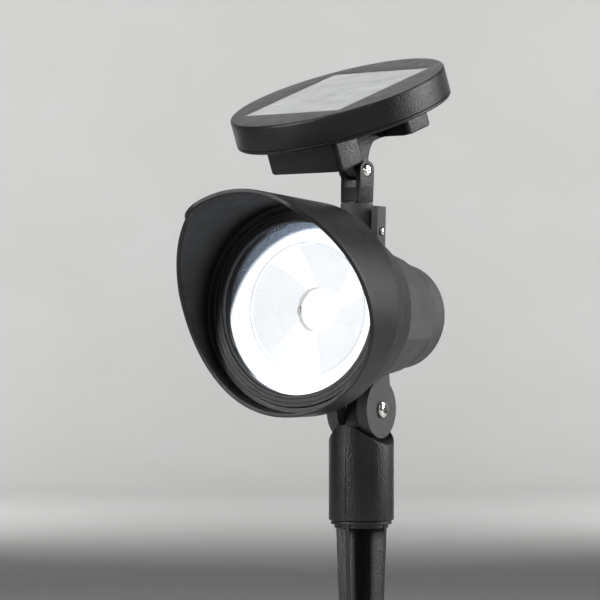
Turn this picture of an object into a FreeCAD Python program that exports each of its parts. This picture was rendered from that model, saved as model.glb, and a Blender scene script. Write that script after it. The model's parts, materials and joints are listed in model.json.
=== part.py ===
"""Solar garden spotlight on a ground stake, as a parametric document.

A lamp head with a visor hood tilts on a knuckle at the top of a stake tube, the tube turns on a
cross-ribbed ground spike, and a round solar panel swivels and tilts on a small arm above the lamp.

World frame: millimetres, +Z up, the lamp shines towards -Y, and the origin is on the stake's
centre line at ground level, where the spike's stop rings meet the soil.
"""
import FreeCAD, Part
import math
import os
import re
import Sketcher
from FreeCAD import Placement, Rotation, Vector

# ---------------------------------------------------------------- driving dimensions
SIZES = {
    # ground spike
    "spike_length": 150.0,
    "spike_point_length": 30.0,
    "rib_width": 26.0,
    "rib_end_width": 15.0,
    "rib_tip_width": 2.4,
    "rib_thickness": 2.4,
    "lower_ring_dia": 25.0,
    "lower_ring_height": 1.7,
    "upper_ring_dia": 28.0,
    "upper_ring_height": 1.6,
    "plug_height": 22.0,
    "plug_wall": 2.4,
    # stake tube
    "tube_dia": 30.0,
    "tube_wall": 2.4,
    "tube_bore_depth": 26.0,
    "pivot_height": 54.6,
    "saddle_gap": 3.0,
    "tongue_width": 8.0,
    "tongue_radius": 6.4,
    "tongue_base_depth": 24.0,
    "seam_width": 0.6,
    "seam_height": 0.3,
    # knuckle
    "ear_radius": 13.4,
    "ear_neck_half": 6.2,
    "ear_thickness": 5.5,
    "washer_thickness": 0.9,
    "washer_radius": 5.6,
    "knuckle_screw_dia": 4.0,
    "knuckle_head_dia": 7.9,
    "knuckle_head_height": 2.4,
    "knuckle_nut_flats": 7.0,
    "knuckle_nut_height": 3.2,
    # lamp head: distances run forward along the lamp's axis from the point above the knuckle
    "axis_height": 43.8,
    "nose_up": 2.4,
    "housing_front": 20.7,
    "housing_facet_end": -20.0,
    "housing_back": -34.5,
    "housing_front_flats": 31.5,
    "housing_rear_flats": 25.2,
    "housing_back_radius": 24.4,
    "housing_wall": 2.4,
    "facet_count": 8,
    "housing_rim_back": 18.3,
    "housing_rim_radius": 36.0,
    "spigot_radius": 28.0,
    "spigot_length": 6.2,
    "collar_front": 50.6,
    "collar_rear_radius": 37.4,
    "collar_front_radius": 47.3,
    "collar_wall": 2.0,
    "collar_neck_radius": 46.2,
    "lens_radius": 41.2,
    "lens_thickness": 2.6,
    "lens_gasket_thickness": 0.8,
    "bezel_front": 60.0,
    "bezel_radius": 44.4,
    "bezel_opening": 38.8,
    "bezel_thickness": 2.6,
    "hood_radius": 48.5,
    "hood_flare": 0.036,
    "hood_wall": 1.9,
    "hood_shadow_gap": 0.6,
    "visor_reach": 49.0,
    "hood_low_reach": 8.0,
    "reflector_cup_radius": 30.0,
    "reflector_hub_radius": 11.0,
    "reflector_depth": 11.5,
    "reflector_wall": 1.2,
    "reflector_rim": 3.2,
    "emitter_radius": 8.0,
    "emitter_height": 4.6,
    "led_board_radius": 14.0,
    "led_board_thickness": 1.6,
    "led_chip_width": 2.6,
    "led_chip_pitch": 4.0,
    "led_chip_height": 0.8,
    "spreader_thickness": 2.4,
    "board_screw_spacing": 22.6,
    "board_screw_dia": 2.0,
    "board_head_height": 1.2,
    "boss_ring_radius": 16.0,
    "boss_radius": 3.6,
    "boss_screw_dia": 3.0,
    # arm socket on the lamp and the arm that turns in it
    "socket_place": 8.0,
    "socket_radius": 7.5,
    "socket_top": 50.3,
    "socket_floor": 39.0,
    "socket_floor_thickness": 2.4,
    "post_radius": 5.0,
    "lug_bar_near": 10.0,
    "lug_bar_far": 13.4,
    "lug_bar_depth": 8.0,
    "lug_bar_top": 48.8,
    "lock_screw_height": 37.4,
    "lock_screw_dia": 2.4,
    "lock_head_dia": 3.9,
    "lock_head_height": 1.5,
    "swivel_screw_dia": 3.0,
    "swivel_head_dia": 5.6,
    "swivel_head_height": 1.9,
    "swivel_washer_dia": 7.4,
    "swivel_washer_thickness": 0.8,
    "panel_pivot_height": 65.4,
    "fork_half_width": 6.4,
    "fork_slot": 7.0,
    "fork_depth": 8.8,
    "fork_slot_depth": 8.0,
    "fork_block_bottom": 14.8,
    "panel_screw_dia": 3.0,
    "panel_head_dia": 5.6,
    "panel_head_height": 1.8,
    "panel_head_recess": 1.0,
    "panel_nut_flats": 5.4,
    "panel_nut_height": 2.0,
    "nut_boss_radius": 4.0,
    "nut_boss_length": 2.2,
    # solar panel: heights run up from the panel's hinge axis
    "panel_swivel": -15.3,
    "panel_slope": 20.0,
    "panel_radius": 50.5,
    "panel_top": 38.0,
    "panel_split": 26.0,
    "panel_bottom": 24.4,
    "panel_wall": 2.2,
    "panel_edge_round": 1.6,
    "panel_top_round": 1.2,
    "panel_plate": 2.4,
    "base_floor": 2.6,
    "panel_gasket_width": 1.4,
    "panel_gasket_height": 1.2,
    "cell_recess": 62.2,
    "cell_recess_depth": 1.4,
    "laminate_gap": 0.3,
    "laminate_thickness": 0.5,
    "wafer_thickness": 0.2,
    "wafer_count": 8,
    "wafer_gap": 0.5,
    "laminate_margin": 2.4,
    "busbar_width": 0.9,
    "busbar_thickness": 0.1,
    "cover_thickness": 0.5,
    "base_screw_radius": 40.0,
    "base_screw_dia": 2.6,
    "base_screw_head": 5.2,
    "base_boss_radius": 3.2,
    # battery box under the panel, and what it holds
    "case_half_width": 20.0,
    "case_front_reach": 26.0,
    "case_front": 34.5,
    "case_back": 34.0,
    "case_bottom": 10.2,
    "case_wall": 1.8,
    "case_corner": 2.0,
    "notch_inner": 3.2,
    "notch_half_length": 18.0,
    "hinge_lug_half": 3.2,
    "hinge_lug_radius": 4.4,
    "hinge_lug_flare": 13.0,
    "cell_dia": 18.3,
    "cell_length": 49.8,
    "contact_plate": 0.5,
    "contact_reach": 2.2,
    "contact_width": 13.0,
    "contact_rib": 1.5,
    "charge_board_length": 28.0,
    "charge_board_width": 22.0,
    "charge_board_thickness": 1.6,
    "charge_board_place": 22.0,
    "standoff_height": 2.2,
    "standoff_radius": 2.4,
    "standoff_spacing": 20.0,
    "switch_place": 10.5,
    "switch_row": 26.0,
    "switch_travel": 3.0,
    "knob_length": 4.5,
    "knob_width": 3.2,
    "knob_drop": 1.4,
    "slider_plate_length": 6.4,
    "slider_plate_width": 7.0,
    "slider_plate_thickness": 1.2,
    "switch_case_length": 12.0,
    "switch_case_width": 12.0,
    "switch_case_height": 5.0,
    # clearances
    "running_gap": 0.1,
    "moving_gap": 0.3,
    "seat_gap": 0.05,
}

# What follows from the driving dimensions.
FORMULAS = {
    "stop_top": "lower_ring_height + upper_ring_height",
    "tube_bottom": "stop_top + moving_gap",
    "tube_radius": "tube_dia / 2",
    "tube_bore": "tube_radius - tube_wall",
    "plug_radius": "tube_bore - running_gap",
    "saddle_radius": "ear_radius + saddle_gap",
    "ear_inner": "tongue_width / 2 + washer_thickness + moving_gap",
    "ear_outer": "ear_inner + ear_thickness",
    "housing_inner_rear": "housing_rear_flats - housing_wall",
    "spigot_end": "housing_front - spigot_length",
    "lens_back": "bezel_front - bezel_thickness - lens_thickness",
    "lens_seat": "lens_back - lens_gasket_thickness",
    "collar_neck_front": "bezel_front - bezel_thickness",
    "hood_back": "collar_front + hood_shadow_gap",
    "hood_front": "bezel_front + visor_reach + 3",
    "hood_tip_radius": "hood_radius + hood_flare * (hood_front - hood_back)",
    "seat_flange_back": "lens_seat - collar_wall",
    "reflector_front": "seat_flange_back",
    "reflector_back": "reflector_front - reflector_wall - reflector_depth",
    "board_front": "reflector_back - board_head_height - 0.2",
    "board_back": "board_front - led_board_thickness",
    "spreader_back": "board_back - spreader_thickness",
    "collar_inner_front": "bezel_opening + 4.4",
    "collar_inner_front_place": "seat_flange_back - reflector_wall - 0.2",
    "collar_inner_rear": "collar_rear_radius - collar_wall",
    "collar_inner_rear_place": "housing_front + 0.2 + collar_wall * 1.3",
    "collar_slope": "(collar_inner_front - collar_inner_rear)"
                    " / (collar_inner_front_place - collar_inner_rear_place)",
    "spreader_radius": "collar_inner_rear - seat_gap"
                       " + collar_slope * (spreader_back - collar_inner_rear_place)",
    "post_bottom": "socket_floor + moving_gap - panel_pivot_height",
    "block_top": "-fork_block_bottom",
    "swivel_washer_top": "socket_floor - socket_floor_thickness - moving_gap - panel_pivot_height",
    "recess_floor": "panel_top - cell_recess_depth",
    "wafer_bottom": "recess_floor + laminate_thickness",
    "wafer_top": "wafer_bottom + wafer_thickness",
    "cover_bottom": "wafer_top + busbar_thickness",
    "laminate_side": "cell_recess - 2 * laminate_gap",
    "base_top": "panel_bottom + base_floor",
    "shell_bore": "panel_radius - panel_wall",
    "shell_ceiling": "panel_top - panel_plate",
    "case_floor": "case_bottom + case_wall",
    "bay_inner": "notch_inner - case_wall",
    "bay_outer": "case_half_width - case_wall",
    "bay_front": "case_front_reach - case_wall",
    "battery_height": "case_floor + moving_gap + cell_dia / 2",
    "battery_place": "(bay_inner - bay_outer) / 2",
    "contact_face": "cell_length / 2 + contact_reach",
    "board_height": "base_top + standoff_height",
    "slider_bottom": "case_floor + moving_gap",
    "slider_top": "slider_bottom + slider_plate_thickness",
    "switch_case_bottom": "slider_top + moving_gap",
}

doc = FreeCAD.newDocument("garden_spotlight")
sheet = doc.addObject("Spreadsheet::Sheet", "sizes")
for row, (alias, number) in enumerate(SIZES.items(), start=1):
    sheet.set(f"A{row}", alias)
    sheet.set(f"B{row}", repr(number))
    sheet.setAlias(f"B{row}", alias)
doc.recompute()


def bound(text):
    """An expression with each size written as the sheet's cell and each formula written out."""
    def one_word(match):
        word = match.group(0)
        if word in FORMULAS:
            return "(" + bound(FORMULAS[word]) + ")"
        return "sizes." + word if word in SIZES else word
    return re.sub(r"[A-Za-z_][A-Za-z_0-9]*", one_word, str(text))


def value(text):
    """The number that an expression comes to, in millimetres or degrees."""
    result = sheet.evalExpression(re.sub(r"sizes\.", "", bound(text)))
    return float(getattr(result, "Value", result))


# ---------------------------------------------------------------- placements of the moving groups
STAKE = Placement()
LAMP = (Placement(Vector(0, 0, value("pivot_height")), Rotation(Vector(1, 0, 0), 90 - value("nose_up")))
        * Placement(Vector(0, value("axis_height"), 0), Rotation()))
ARM = (LAMP * Placement(Vector(0, value("panel_pivot_height"), value("socket_place")),
                        Rotation(Vector(1, 0, 0), -90))
       * Placement(Vector(), Rotation(Vector(0, 0, 1), value("panel_swivel"))))
PANEL = ARM * Placement(Vector(), Rotation(Vector(1, 0, 0), value("panel_slope + nose_up")))

# ---------------------------------------------------------------- modelling helpers
PLANES = {"XY": "XY_Plane", "XZ": "XZ_Plane", "YZ": "YZ_Plane"}
subparts = []


def new_body(label, place):
    body = doc.addObject("PartDesign::Body", label)
    body.Label = label
    body.Placement = place
    subparts.append(body)
    return body


def new_sketch(body, name, plane, offset="0"):
    """A sketch on one of the body's origin planes, moved along that plane's axis by offset."""
    sketch = body.newObject("Sketcher::SketchObject", name)
    feature = [f for f in body.Origin.OriginFeatures if f.Role == PLANES[plane]][0]
    sketch.AttachmentSupport = [(feature, "")]
    sketch.MapMode = "FlatFace"
    sign = "-1" if plane == "XZ" else "1"
    sketch.setExpression("AttachmentOffset.Base.z", bound(f"{sign} * ({offset})"))
    return sketch


def pin_point(sketch, geometry, point, u, v):
    """Hold one sketch point at (u, v) from the sketch's origin."""
    for kind, text in (("DistanceX", u), ("DistanceY", v)):
        index = sketch.addConstraint(Sketcher.Constraint(kind, -1, 1, geometry, point, value(text)))
        sketch.setExpression(f"Constraints[{index}]", bound(text))


def draw_outline(sketch, corners):
    """A closed outline through corners (u, v), or (u, v, radius, side) where the edge that leads
    to the corner is an arc that bulges to its left (side 1) or right (side -1)."""
    points = [Vector(value(c[0]), value(c[1]), 0) for c in corners]
    first = sketch.GeometryCount
    for index, corner in enumerate(corners):
        start = points[index - 1]
        end = points[index]
        if len(corner) == 2:
            sketch.addGeometry(Part.LineSegment(start, end), False)
            continue
        radius = value(corner[2])
        chord = end - start
        left = Vector(-chord.y, chord.x, 0).normalize()
        rise = math.sqrt(radius ** 2 - (chord.Length / 2) ** 2)
        centre = (start + end) * 0.5 - left * rise * corner[3]
        circle = Part.Circle(centre, Vector(0, 0, 1), radius)
        first_end, last_end = (end, start) if corner[3] > 0 else (start, end)
        first_angle = math.atan2(first_end.y - centre.y, first_end.x - centre.x)
        last_angle = math.atan2(last_end.y - centre.y, last_end.x - centre.x)
        if last_angle < first_angle:
            last_angle += 2 * math.pi
        sketch.addGeometry(Part.ArcOfCircle(circle, first_angle, last_angle), False)
    count = len(corners)
    ends = []
    for index in range(count):
        geometry = sketch.Geometry[first + index]
        begins_at_start = (geometry.StartPoint - points[index - 1]).Length < 1e-6
        ends.append((1, 2) if begins_at_start else (2, 1))
    for index in range(count):
        follower = (index + 1) % count
        sketch.addConstraint(Sketcher.Constraint(
            "Coincident", first + index, ends[index][1], first + follower, ends[follower][0]))
    for index, corner in enumerate(corners):
        pin_point(sketch, first + index, ends[index][1], corner[0], corner[1])
        if len(corner) == 4:
            number = sketch.addConstraint(
                Sketcher.Constraint("Radius", first + index, value(corner[2])))
            sketch.setExpression(f"Constraints[{number}]", bound(corner[2]))


def draw_circle(sketch, u, v, radius):
    centre = Vector(value(u), value(v), 0)
    index = sketch.addGeometry(Part.Circle(centre, Vector(0, 0, 1), value(radius)), False)
    pin_point(sketch, index, 3, u, v)
    number = sketch.addConstraint(Sketcher.Constraint("Radius", index, value(radius)))
    sketch.setExpression(f"Constraints[{number}]", bound(radius))


def box_corners(u_low, u_high, v_low, v_high):
    return [(u_low, v_low), (u_high, v_low), (u_high, v_high), (u_low, v_high)]


def hexagon(u, v, flats, first_corner=0):
    """Corners of a hexagon that measures flats across, the first at an angle from the u axis."""
    reach = f"({flats}) / 2 / cos(30)"
    angles = [first_corner + 60 * k for k in range(6)]
    return [(f"{u} + {reach} * cos({a})", f"{v} + {reach} * sin({a})") for a in angles]


def turn(body, name, corners):
    """Revolve an outline (radius, height) about the body's Z axis."""
    sketch = new_sketch(body, name + "_profile", "XZ")
    draw_outline(sketch, corners)
    feature = body.newObject("PartDesign::Revolution", name)
    feature.Profile = sketch
    feature.ReferenceAxis = (sketch, ["V_Axis"])
    feature.Angle = 360
    doc.recompute()
    return feature


def hollow(body, name, corners):
    """Cut a turned outline (radius, height) out of the body."""
    sketch = new_sketch(body, name + "_profile", "XZ")
    draw_outline(sketch, corners)
    feature = body.newObject("PartDesign::Groove", name)
    feature.Profile = sketch
    feature.ReferenceAxis = (sketch, ["V_Axis"])
    feature.Angle = 360
    doc.recompute()
    return feature


def slab(body, name, kind, plane, shapes, low, high):
    """Pad or pocket shapes across the stretch from low to high along the plane's axis.
    A shape is an outline's corners, or (u, v, radius) for a circle."""
    sketch = new_sketch(body, name + "_profile", plane, f"(({low}) + ({high})) / 2")
    for shape in shapes:
        if isinstance(shape, tuple):
            draw_circle(sketch, *shape)
        else:
            draw_outline(sketch, shape)
    feature = body.newObject("PartDesign::" + kind, name)
    feature.Profile = sketch
    feature.Midplane = True
    feature.setExpression("Length", bound(f"({high}) - ({low})"))
    doc.recompute()
    return feature


def pad(body, name, plane, shapes, low, high):
    return slab(body, name, "Pad", plane, shapes, low, high)


def pocket(body, name, plane, shapes, low, high):
    before = body.Shape.Volume
    feature = slab(body, name, "Pocket", plane, shapes, low, high)
    if body.Shape.Volume > before - 1e-3:
        raise RuntimeError(f"{body.Label}.{name} cuts nothing")
    return feature


def ring_of(body, name, feature, count):
    """Repeat a feature around the body's Z axis."""
    pattern = body.newObject("PartDesign::PolarPattern", name)
    pattern.Originals = [feature]
    z_axis = [f for f in body.Origin.OriginFeatures if f.Role == "Z_Axis"][0]
    pattern.Axis = (z_axis, [""])
    pattern.Angle = 360
    pattern.setExpression("Occurrences", bound(count))
    body.Tip = pattern
    doc.recompute()
    return pattern


def round_edges(body, name, radius, chosen, kind="Fillet"):
    """Fillet or chamfer the edges of the body's last feature that chosen(edge) picks."""
    base = body.Tip
    names = [f"Edge{n}" for n, edge in enumerate(base.Shape.Edges, start=1) if chosen(edge)]
    if not names:
        raise RuntimeError(f"{body.Label}.{name} finds no edge")
    feature = body.newObject("PartDesign::" + kind, name)
    feature.Base = (base, names)
    feature.setExpression("Radius" if kind == "Fillet" else "Size", bound(radius))
    doc.recompute()
    return feature


def circle_at(height, radius):
    """Picks full or part circles of one radius whose centre is at one local height."""
    def chosen(edge):
        curve = edge.Curve
        return (isinstance(curve, Part.Circle) and abs(curve.Center.z - value(height)) < 1e-4
                and abs(curve.Radius - value(radius)) < 1e-4)
    return chosen


def straight_along(axis, low, high):
    """Picks straight edges that run along one axis and lie between two local heights in Z."""
    def chosen(edge):
        if not isinstance(edge.Curve, Part.Line):
            return False
        box = edge.BoundBox
        spans = {"x": box.XLength, "y": box.YLength, "z": box.ZLength}
        along = spans.pop(axis) > 1e-3
        return (along and max(spans.values()) < 1e-5
                and box.ZMin > value(low) - 1e-4 and box.ZMax < value(high) + 1e-4)
    return chosen


def fastener(label, place, shank_radius, shank_tip, head_radius, head_seat, head_height, drive_depth):
    """A pan-head screw along local Z: its shank runs from shank_tip up to the head's seat."""
    body = new_body(label, place)
    turn(body, "blank", [
        ("0", shank_tip),
        (f"{shank_radius} - 0.4", shank_tip),
        (shank_radius, f"{shank_tip} + 0.6"),
        (shank_radius, head_seat),
        (head_radius, head_seat),
        (head_radius, f"{head_seat} + {head_height} * 0.45"),
        (f"{head_radius} * 0.45", f"{head_seat} + {head_height}", f"{head_radius} * 1.1", -1),
        ("0", f"{head_seat} + {head_height}"),
    ])
    half = f"{head_radius} * 0.52"
    thin = f"{head_radius} * 0.13"
    for name, u, v in (("drive_one", half, thin), ("drive_two", thin, half)):
        pocket(body, name, "XY", [box_corners(f"-({u})", u, f"-({v})", v)],
               f"{head_seat} + {head_height} - {drive_depth}", f"{head_seat} + {head_height} + 1")
    return body


def copies(label, body, places):
    """One node that holds a solid of body's shape at each of the placements."""
    body.Label = label + "_single"
    group = doc.addObject("Part::Feature", label + "_set")
    group.Label = label
    doc.recompute()
    shape = body.Shape.copy()
    shape.Placement = Placement()
    group.Shape = Part.makeCompound([shape.transformed(p.toMatrix()) for p in places])
    group.Placement = body.Placement
    subparts.remove(body)
    subparts.append(group)
    return group


# ---------------------------------------------------------------- ground spike
def make_ground_spike():
    """Two crossed ribs that run down to a point, two stop rings and the plug the tube turns on."""
    body = new_body("ground_spike", STAKE)
    turn(body, "rings_and_plug", [
        ("0", "0"),
        ("lower_ring_dia / 2", "0"),
        ("lower_ring_dia / 2", "lower_ring_height"),
        ("upper_ring_dia / 2", "lower_ring_height"),
        ("upper_ring_dia / 2", "stop_top"),
        ("plug_radius", "stop_top"),
        ("plug_radius", "stop_top + plug_height - 1"),
        ("plug_radius - 1", "stop_top + plug_height"),
        ("plug_radius - plug_wall", "stop_top + plug_height"),
        ("plug_radius - plug_wall", "stop_top"),
        ("0", "stop_top"),
    ])
    rib = [
        ("rib_width / 2", "lower_ring_height"),
        ("rib_end_width / 2", "spike_point_length - spike_length"),
        ("rib_tip_width / 2", "-spike_length"),
        ("-rib_tip_width / 2", "-spike_length"),
        ("-rib_end_width / 2", "spike_point_length - spike_length"),
        ("-rib_width / 2", "lower_ring_height"),
    ]
    for name, plane in (("rib_across", "XZ"), ("rib_along", "YZ")):
        pad(body, name, plane, [rib], "-rib_thickness / 2", "rib_thickness / 2")
    return body


def make_stake_tube():
    """Tube with a saddle at the top, the tongue that stands between the lamp's ears, and a bore
    for the spike's plug. A fine mould seam runs down its front."""
    body = new_body("stake_tube", STAKE)
    turn(body, "tube", [
        ("0", "tube_bottom + tube_bore_depth"),
        ("tube_bore", "tube_bottom + tube_bore_depth"),
        ("tube_bore", "tube_bottom"),
        ("tube_radius - 0.5", "tube_bottom"),
        ("tube_radius", "tube_bottom + 0.5"),
        ("tube_radius", "pivot_height - 3"),
        ("0", "pivot_height - 3"),
    ])
    pad(body, "seam", "XY", [box_corners("-seam_width / 2", "seam_width / 2",
                                         "-tube_radius - seam_height", "-tube_radius + 0.6")],
        "tube_bottom + 3", "pivot_height - saddle_radius - 1")
    pocket(body, "saddle", "YZ", [("0", "pivot_height", "saddle_radius")],
           "-tube_radius - 1", "tube_radius + 1")
    tongue = [
        ("-tongue_base_depth / 2", "pivot_height - saddle_radius - 3"),
        ("tongue_base_depth / 2", "pivot_height - saddle_radius - 3"),
        ("tongue_radius", "pivot_height"),
        ("-tongue_radius", "pivot_height", "tongue_radius + 0.001", -1),
    ]
    pad(body, "tongue", "YZ", [tongue], "-tongue_width / 2", "tongue_width / 2")
    pocket(body, "screw_bore", "YZ", [("0", "pivot_height", "knuckle_screw_dia / 2 + running_gap")],
           "-tongue_width", "tongue_width")
    return body


def make_knuckle():
    """Friction washers beside the tongue, and the cross screw and nut that clamp the two ears."""
    across = Placement(Vector(0, 0, value("pivot_height")), Rotation(Vector(0, 1, 0), 90))
    washer = new_body("knuckle_washers", across)
    turn(washer, "washer", [
        ("knuckle_screw_dia / 2 + running_gap", "tongue_width / 2"),
        ("washer_radius", "tongue_width / 2"),
        ("washer_radius", "tongue_width / 2 + washer_thickness"),
        ("knuckle_screw_dia / 2 + running_gap", "tongue_width / 2 + washer_thickness"),
    ])
    copies("knuckle_washers", washer, [Placement(), Placement(Vector(), Rotation(Vector(0, 1, 0), 180))])
    lamp_across = LAMP * Placement(Vector(0, -value("axis_height"), 0), Rotation(Vector(0, 1, 0), 90))
    fastener("knuckle_screw", lamp_across, "knuckle_screw_dia / 2", "-ear_outer + 0.2",
             "knuckle_head_dia / 2", "ear_outer", "knuckle_head_height", "1.4")
    nut = new_body("knuckle_nut", lamp_across)
    pad(nut, "hexagon", "XY", [hexagon("0", "0", "knuckle_nut_flats", 30),
                               ("0", "0", "knuckle_screw_dia / 2 + seat_gap")],
        "-ear_outer + 0.1", "-ear_outer + 0.1 + knuckle_nut_height")


# ---------------------------------------------------------------- lamp head
def make_rear_housing():
    """Eight-sided tapered shell with a rounded back, the two knuckle ears, the arm's socket with
    its locking lug, and three screw bosses."""
    body = new_body("rear_housing", LAMP)
    turn(body, "round_blank", [
        ("0", "housing_back"),
        ("housing_back_radius - 1.8", "housing_back"),
        ("housing_back_radius", "housing_back + 1.5"),
        ("housing_rear_flats / cos(180 / facet_count) + 0.3", "housing_facet_end + 2", "42", -1),
        ("housing_front_flats / cos(180 / facet_count) + 0.3", "housing_rim_back"),
        ("housing_rim_radius", "housing_rim_back"),
        ("housing_rim_radius", "housing_front"),
        ("0", "housing_front"),
    ])
    facet = pocket(body, "facet", "YZ", [[
        ("housing_front_flats", "housing_rim_back"),
        ("housing_front_flats + 8", "housing_rim_back"),
        ("housing_front_flats + 8", "housing_facet_end - 14"),
        ("housing_rear_flats + 2.2", "housing_facet_end - 9"),
        ("housing_rear_flats", "housing_facet_end", "24", -1),
    ]], "-housing_front_flats", "housing_front_flats")
    ring_of(body, "facets", facet, "facet_count")
    for name, low, high in (("left_ear", "-ear_outer", "-ear_inner"), ("right_ear", "ear_inner", "ear_outer")):
        pad(body, name, "YZ", [("-axis_height", "0", "ear_radius")], low, high)
        pad(body, name + "_neck", "YZ", [box_corners("-axis_height + 2", "-housing_rear_flats + 4",
                                                     "-ear_neck_half", "ear_neck_half")], low, high)
    pad(body, "socket", "XZ", [("0", "socket_place", "socket_radius")],
        "housing_rear_flats - 4", "socket_top")
    pad(body, "locking_lug", "XZ", [box_corners("lug_bar_near", "lug_bar_far",
                                                "socket_place - lug_bar_depth / 2",
                                                "socket_place + lug_bar_depth / 2")],
        "housing_rear_flats - 4", "lug_bar_top")
    hollow(body, "inside", [
        ("0", "housing_back + housing_wall"),
        ("housing_back_radius - housing_wall - 1", "housing_back + housing_wall"),
        ("housing_inner_rear", "housing_facet_end", "45", -1),
        ("spigot_radius - 1.6", "spigot_end - 0.5"),
        ("spigot_radius + seat_gap", "spigot_end - 0.5"),
        ("spigot_radius + seat_gap", "housing_front + 1"),
        ("0", "housing_front + 1"),
    ])
    pocket(body, "ear_bores", "YZ", [("-axis_height", "0", "knuckle_screw_dia / 2 + seat_gap")],
           "-ear_outer - 1", "ear_outer + 1")
    pocket(body, "nut_pocket", "YZ", [hexagon("-axis_height", "0", "knuckle_nut_flats + 2 * seat_gap")],
           "-ear_outer - 1", "-ear_outer + 0.1 + knuckle_nut_height + seat_gap")
    pocket(body, "post_bore", "XZ", [("0", "socket_place", "post_radius + running_gap")],
           "socket_floor", "socket_top + 1")
    pocket(body, "swivel_screw_hole", "XZ", [("0", "socket_place", "swivel_screw_dia / 2 + running_gap")],
           "socket_floor - socket_floor_thickness - 1", "socket_floor + 1")
    pocket(body, "swivel_head_room", "XZ", [("0", "socket_place", "swivel_washer_dia / 2 + 0.4")],
           "housing_inner_rear - 4", "socket_floor - socket_floor_thickness")
    pocket(body, "lock_screw_hole", "YZ", [("lock_screw_height", "socket_place", "lock_screw_dia / 2 + seat_gap")],
           "socket_radius - 3", "lug_bar_far + 1")
    boss = pad(body, "boss", "XY", [("0", "-boss_ring_radius", "boss_radius")],
               "housing_back + housing_wall - 0.5", "spigot_end")
    ring_of(body, "bosses", boss, "3")
    hole = pocket(body, "boss_hole", "XY", [("0", "-boss_ring_radius", "boss_screw_dia / 2 + seat_gap")],
                  "housing_back - 1", "spigot_end + 1")
    ring_of(body, "boss_holes", hole, "3")
    head = pocket(body, "boss_counterbore", "XY", [("0", "-boss_ring_radius", "boss_screw_dia + 0.2")],
                  "housing_back - 1", "housing_back + 2")
    ring_of(body, "boss_counterbores", head, "3")
    return body


def make_front_collar():
    """Flared ring between housing and hood: rear spigot with a seal groove, lens seat in front."""
    body = new_body("front_collar", LAMP)
    turn(body, "ring", [
        ("spigot_radius - 3", "spigot_end"),
        ("spigot_radius", "spigot_end"),
        ("spigot_radius", "spigot_end + 2"),
        ("spigot_radius - 1", "spigot_end + 2"),
        ("spigot_radius - 1", "spigot_end + 3.6"),
        ("spigot_radius", "spigot_end + 3.6"),
        ("spigot_radius", "housing_front + 0.2"),
        ("collar_rear_radius", "housing_front + 0.2"),
        ("collar_front_radius", "collar_front - 0.8"),
        ("collar_front_radius - 0.6", "collar_front"),
        ("collar_neck_radius", "collar_front"),
        ("collar_neck_radius", "collar_neck_front"),
        ("lens_radius + 0.2", "collar_neck_front"),
        ("lens_radius + 0.2", "lens_seat"),
        ("bezel_opening + 0.6", "lens_seat"),
        ("bezel_opening + 0.6", "seat_flange_back"),
        ("collar_inner_front", "seat_flange_back"),
        ("collar_inner_front", "collar_inner_front_place"),
        ("collar_inner_rear", "collar_inner_rear_place"),
        ("spigot_radius - 3", "housing_front + 2.4"),
    ])
    pad(body, "screw_flange", "XY", [("0", "0", "spigot_radius - 2.5"), ("0", "0", "boss_ring_radius - 6")],
        "spigot_end", "spigot_end + 2.6")
    hole = pocket(body, "screw_pilot", "XY", [("0", "-boss_ring_radius", "boss_screw_dia / 2 + seat_gap")],
                  "spigot_end - 1", "spigot_end + 4")
    ring_of(body, "screw_pilots", hole, "3")
    return body


def make_hood():
    """Flared visor: a turned tube, cut from the side by a sweeping curve so that it reaches far
    forward over the lens and stays short below it. A ledge inside meets the bezel."""
    body = new_body("hood", LAMP)
    turn(body, "tube", [
        ("hood_radius - hood_wall", "hood_back"),
        ("hood_radius - 0.4", "hood_back"),
        ("hood_radius", "hood_back + 0.4"),
        ("hood_tip_radius", "hood_front"),
        ("hood_tip_radius - hood_wall", "hood_front"),
        ("hood_radius - hood_wall + hood_flare * 10", "bezel_front - 0.8"),
        ("bezel_radius + 0.2", "bezel_front - 0.8"),
        ("bezel_radius + 0.2", "collar_neck_front"),
        ("hood_radius - hood_wall", "collar_neck_front"),
    ])
    pocket(body, "visor_sweep", "YZ", [[
        ("-hood_tip_radius - 5", "bezel_front + hood_low_reach"),
        ("-36", "bezel_front + hood_low_reach"),
        ("5", "bezel_front + hood_low_reach + 12.5", "100", -1),
        ("38", "bezel_front + visor_reach - 7", "170", -1),
        ("44", "bezel_front + visor_reach", "11", 1),
        ("hood_tip_radius + 5", "bezel_front + visor_reach"),
        ("hood_tip_radius + 5", "hood_front + 5"),
        ("-hood_tip_radius - 5", "hood_front + 5"),
    ]], "-hood_tip_radius - 1", "hood_tip_radius + 1")
    return body


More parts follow.
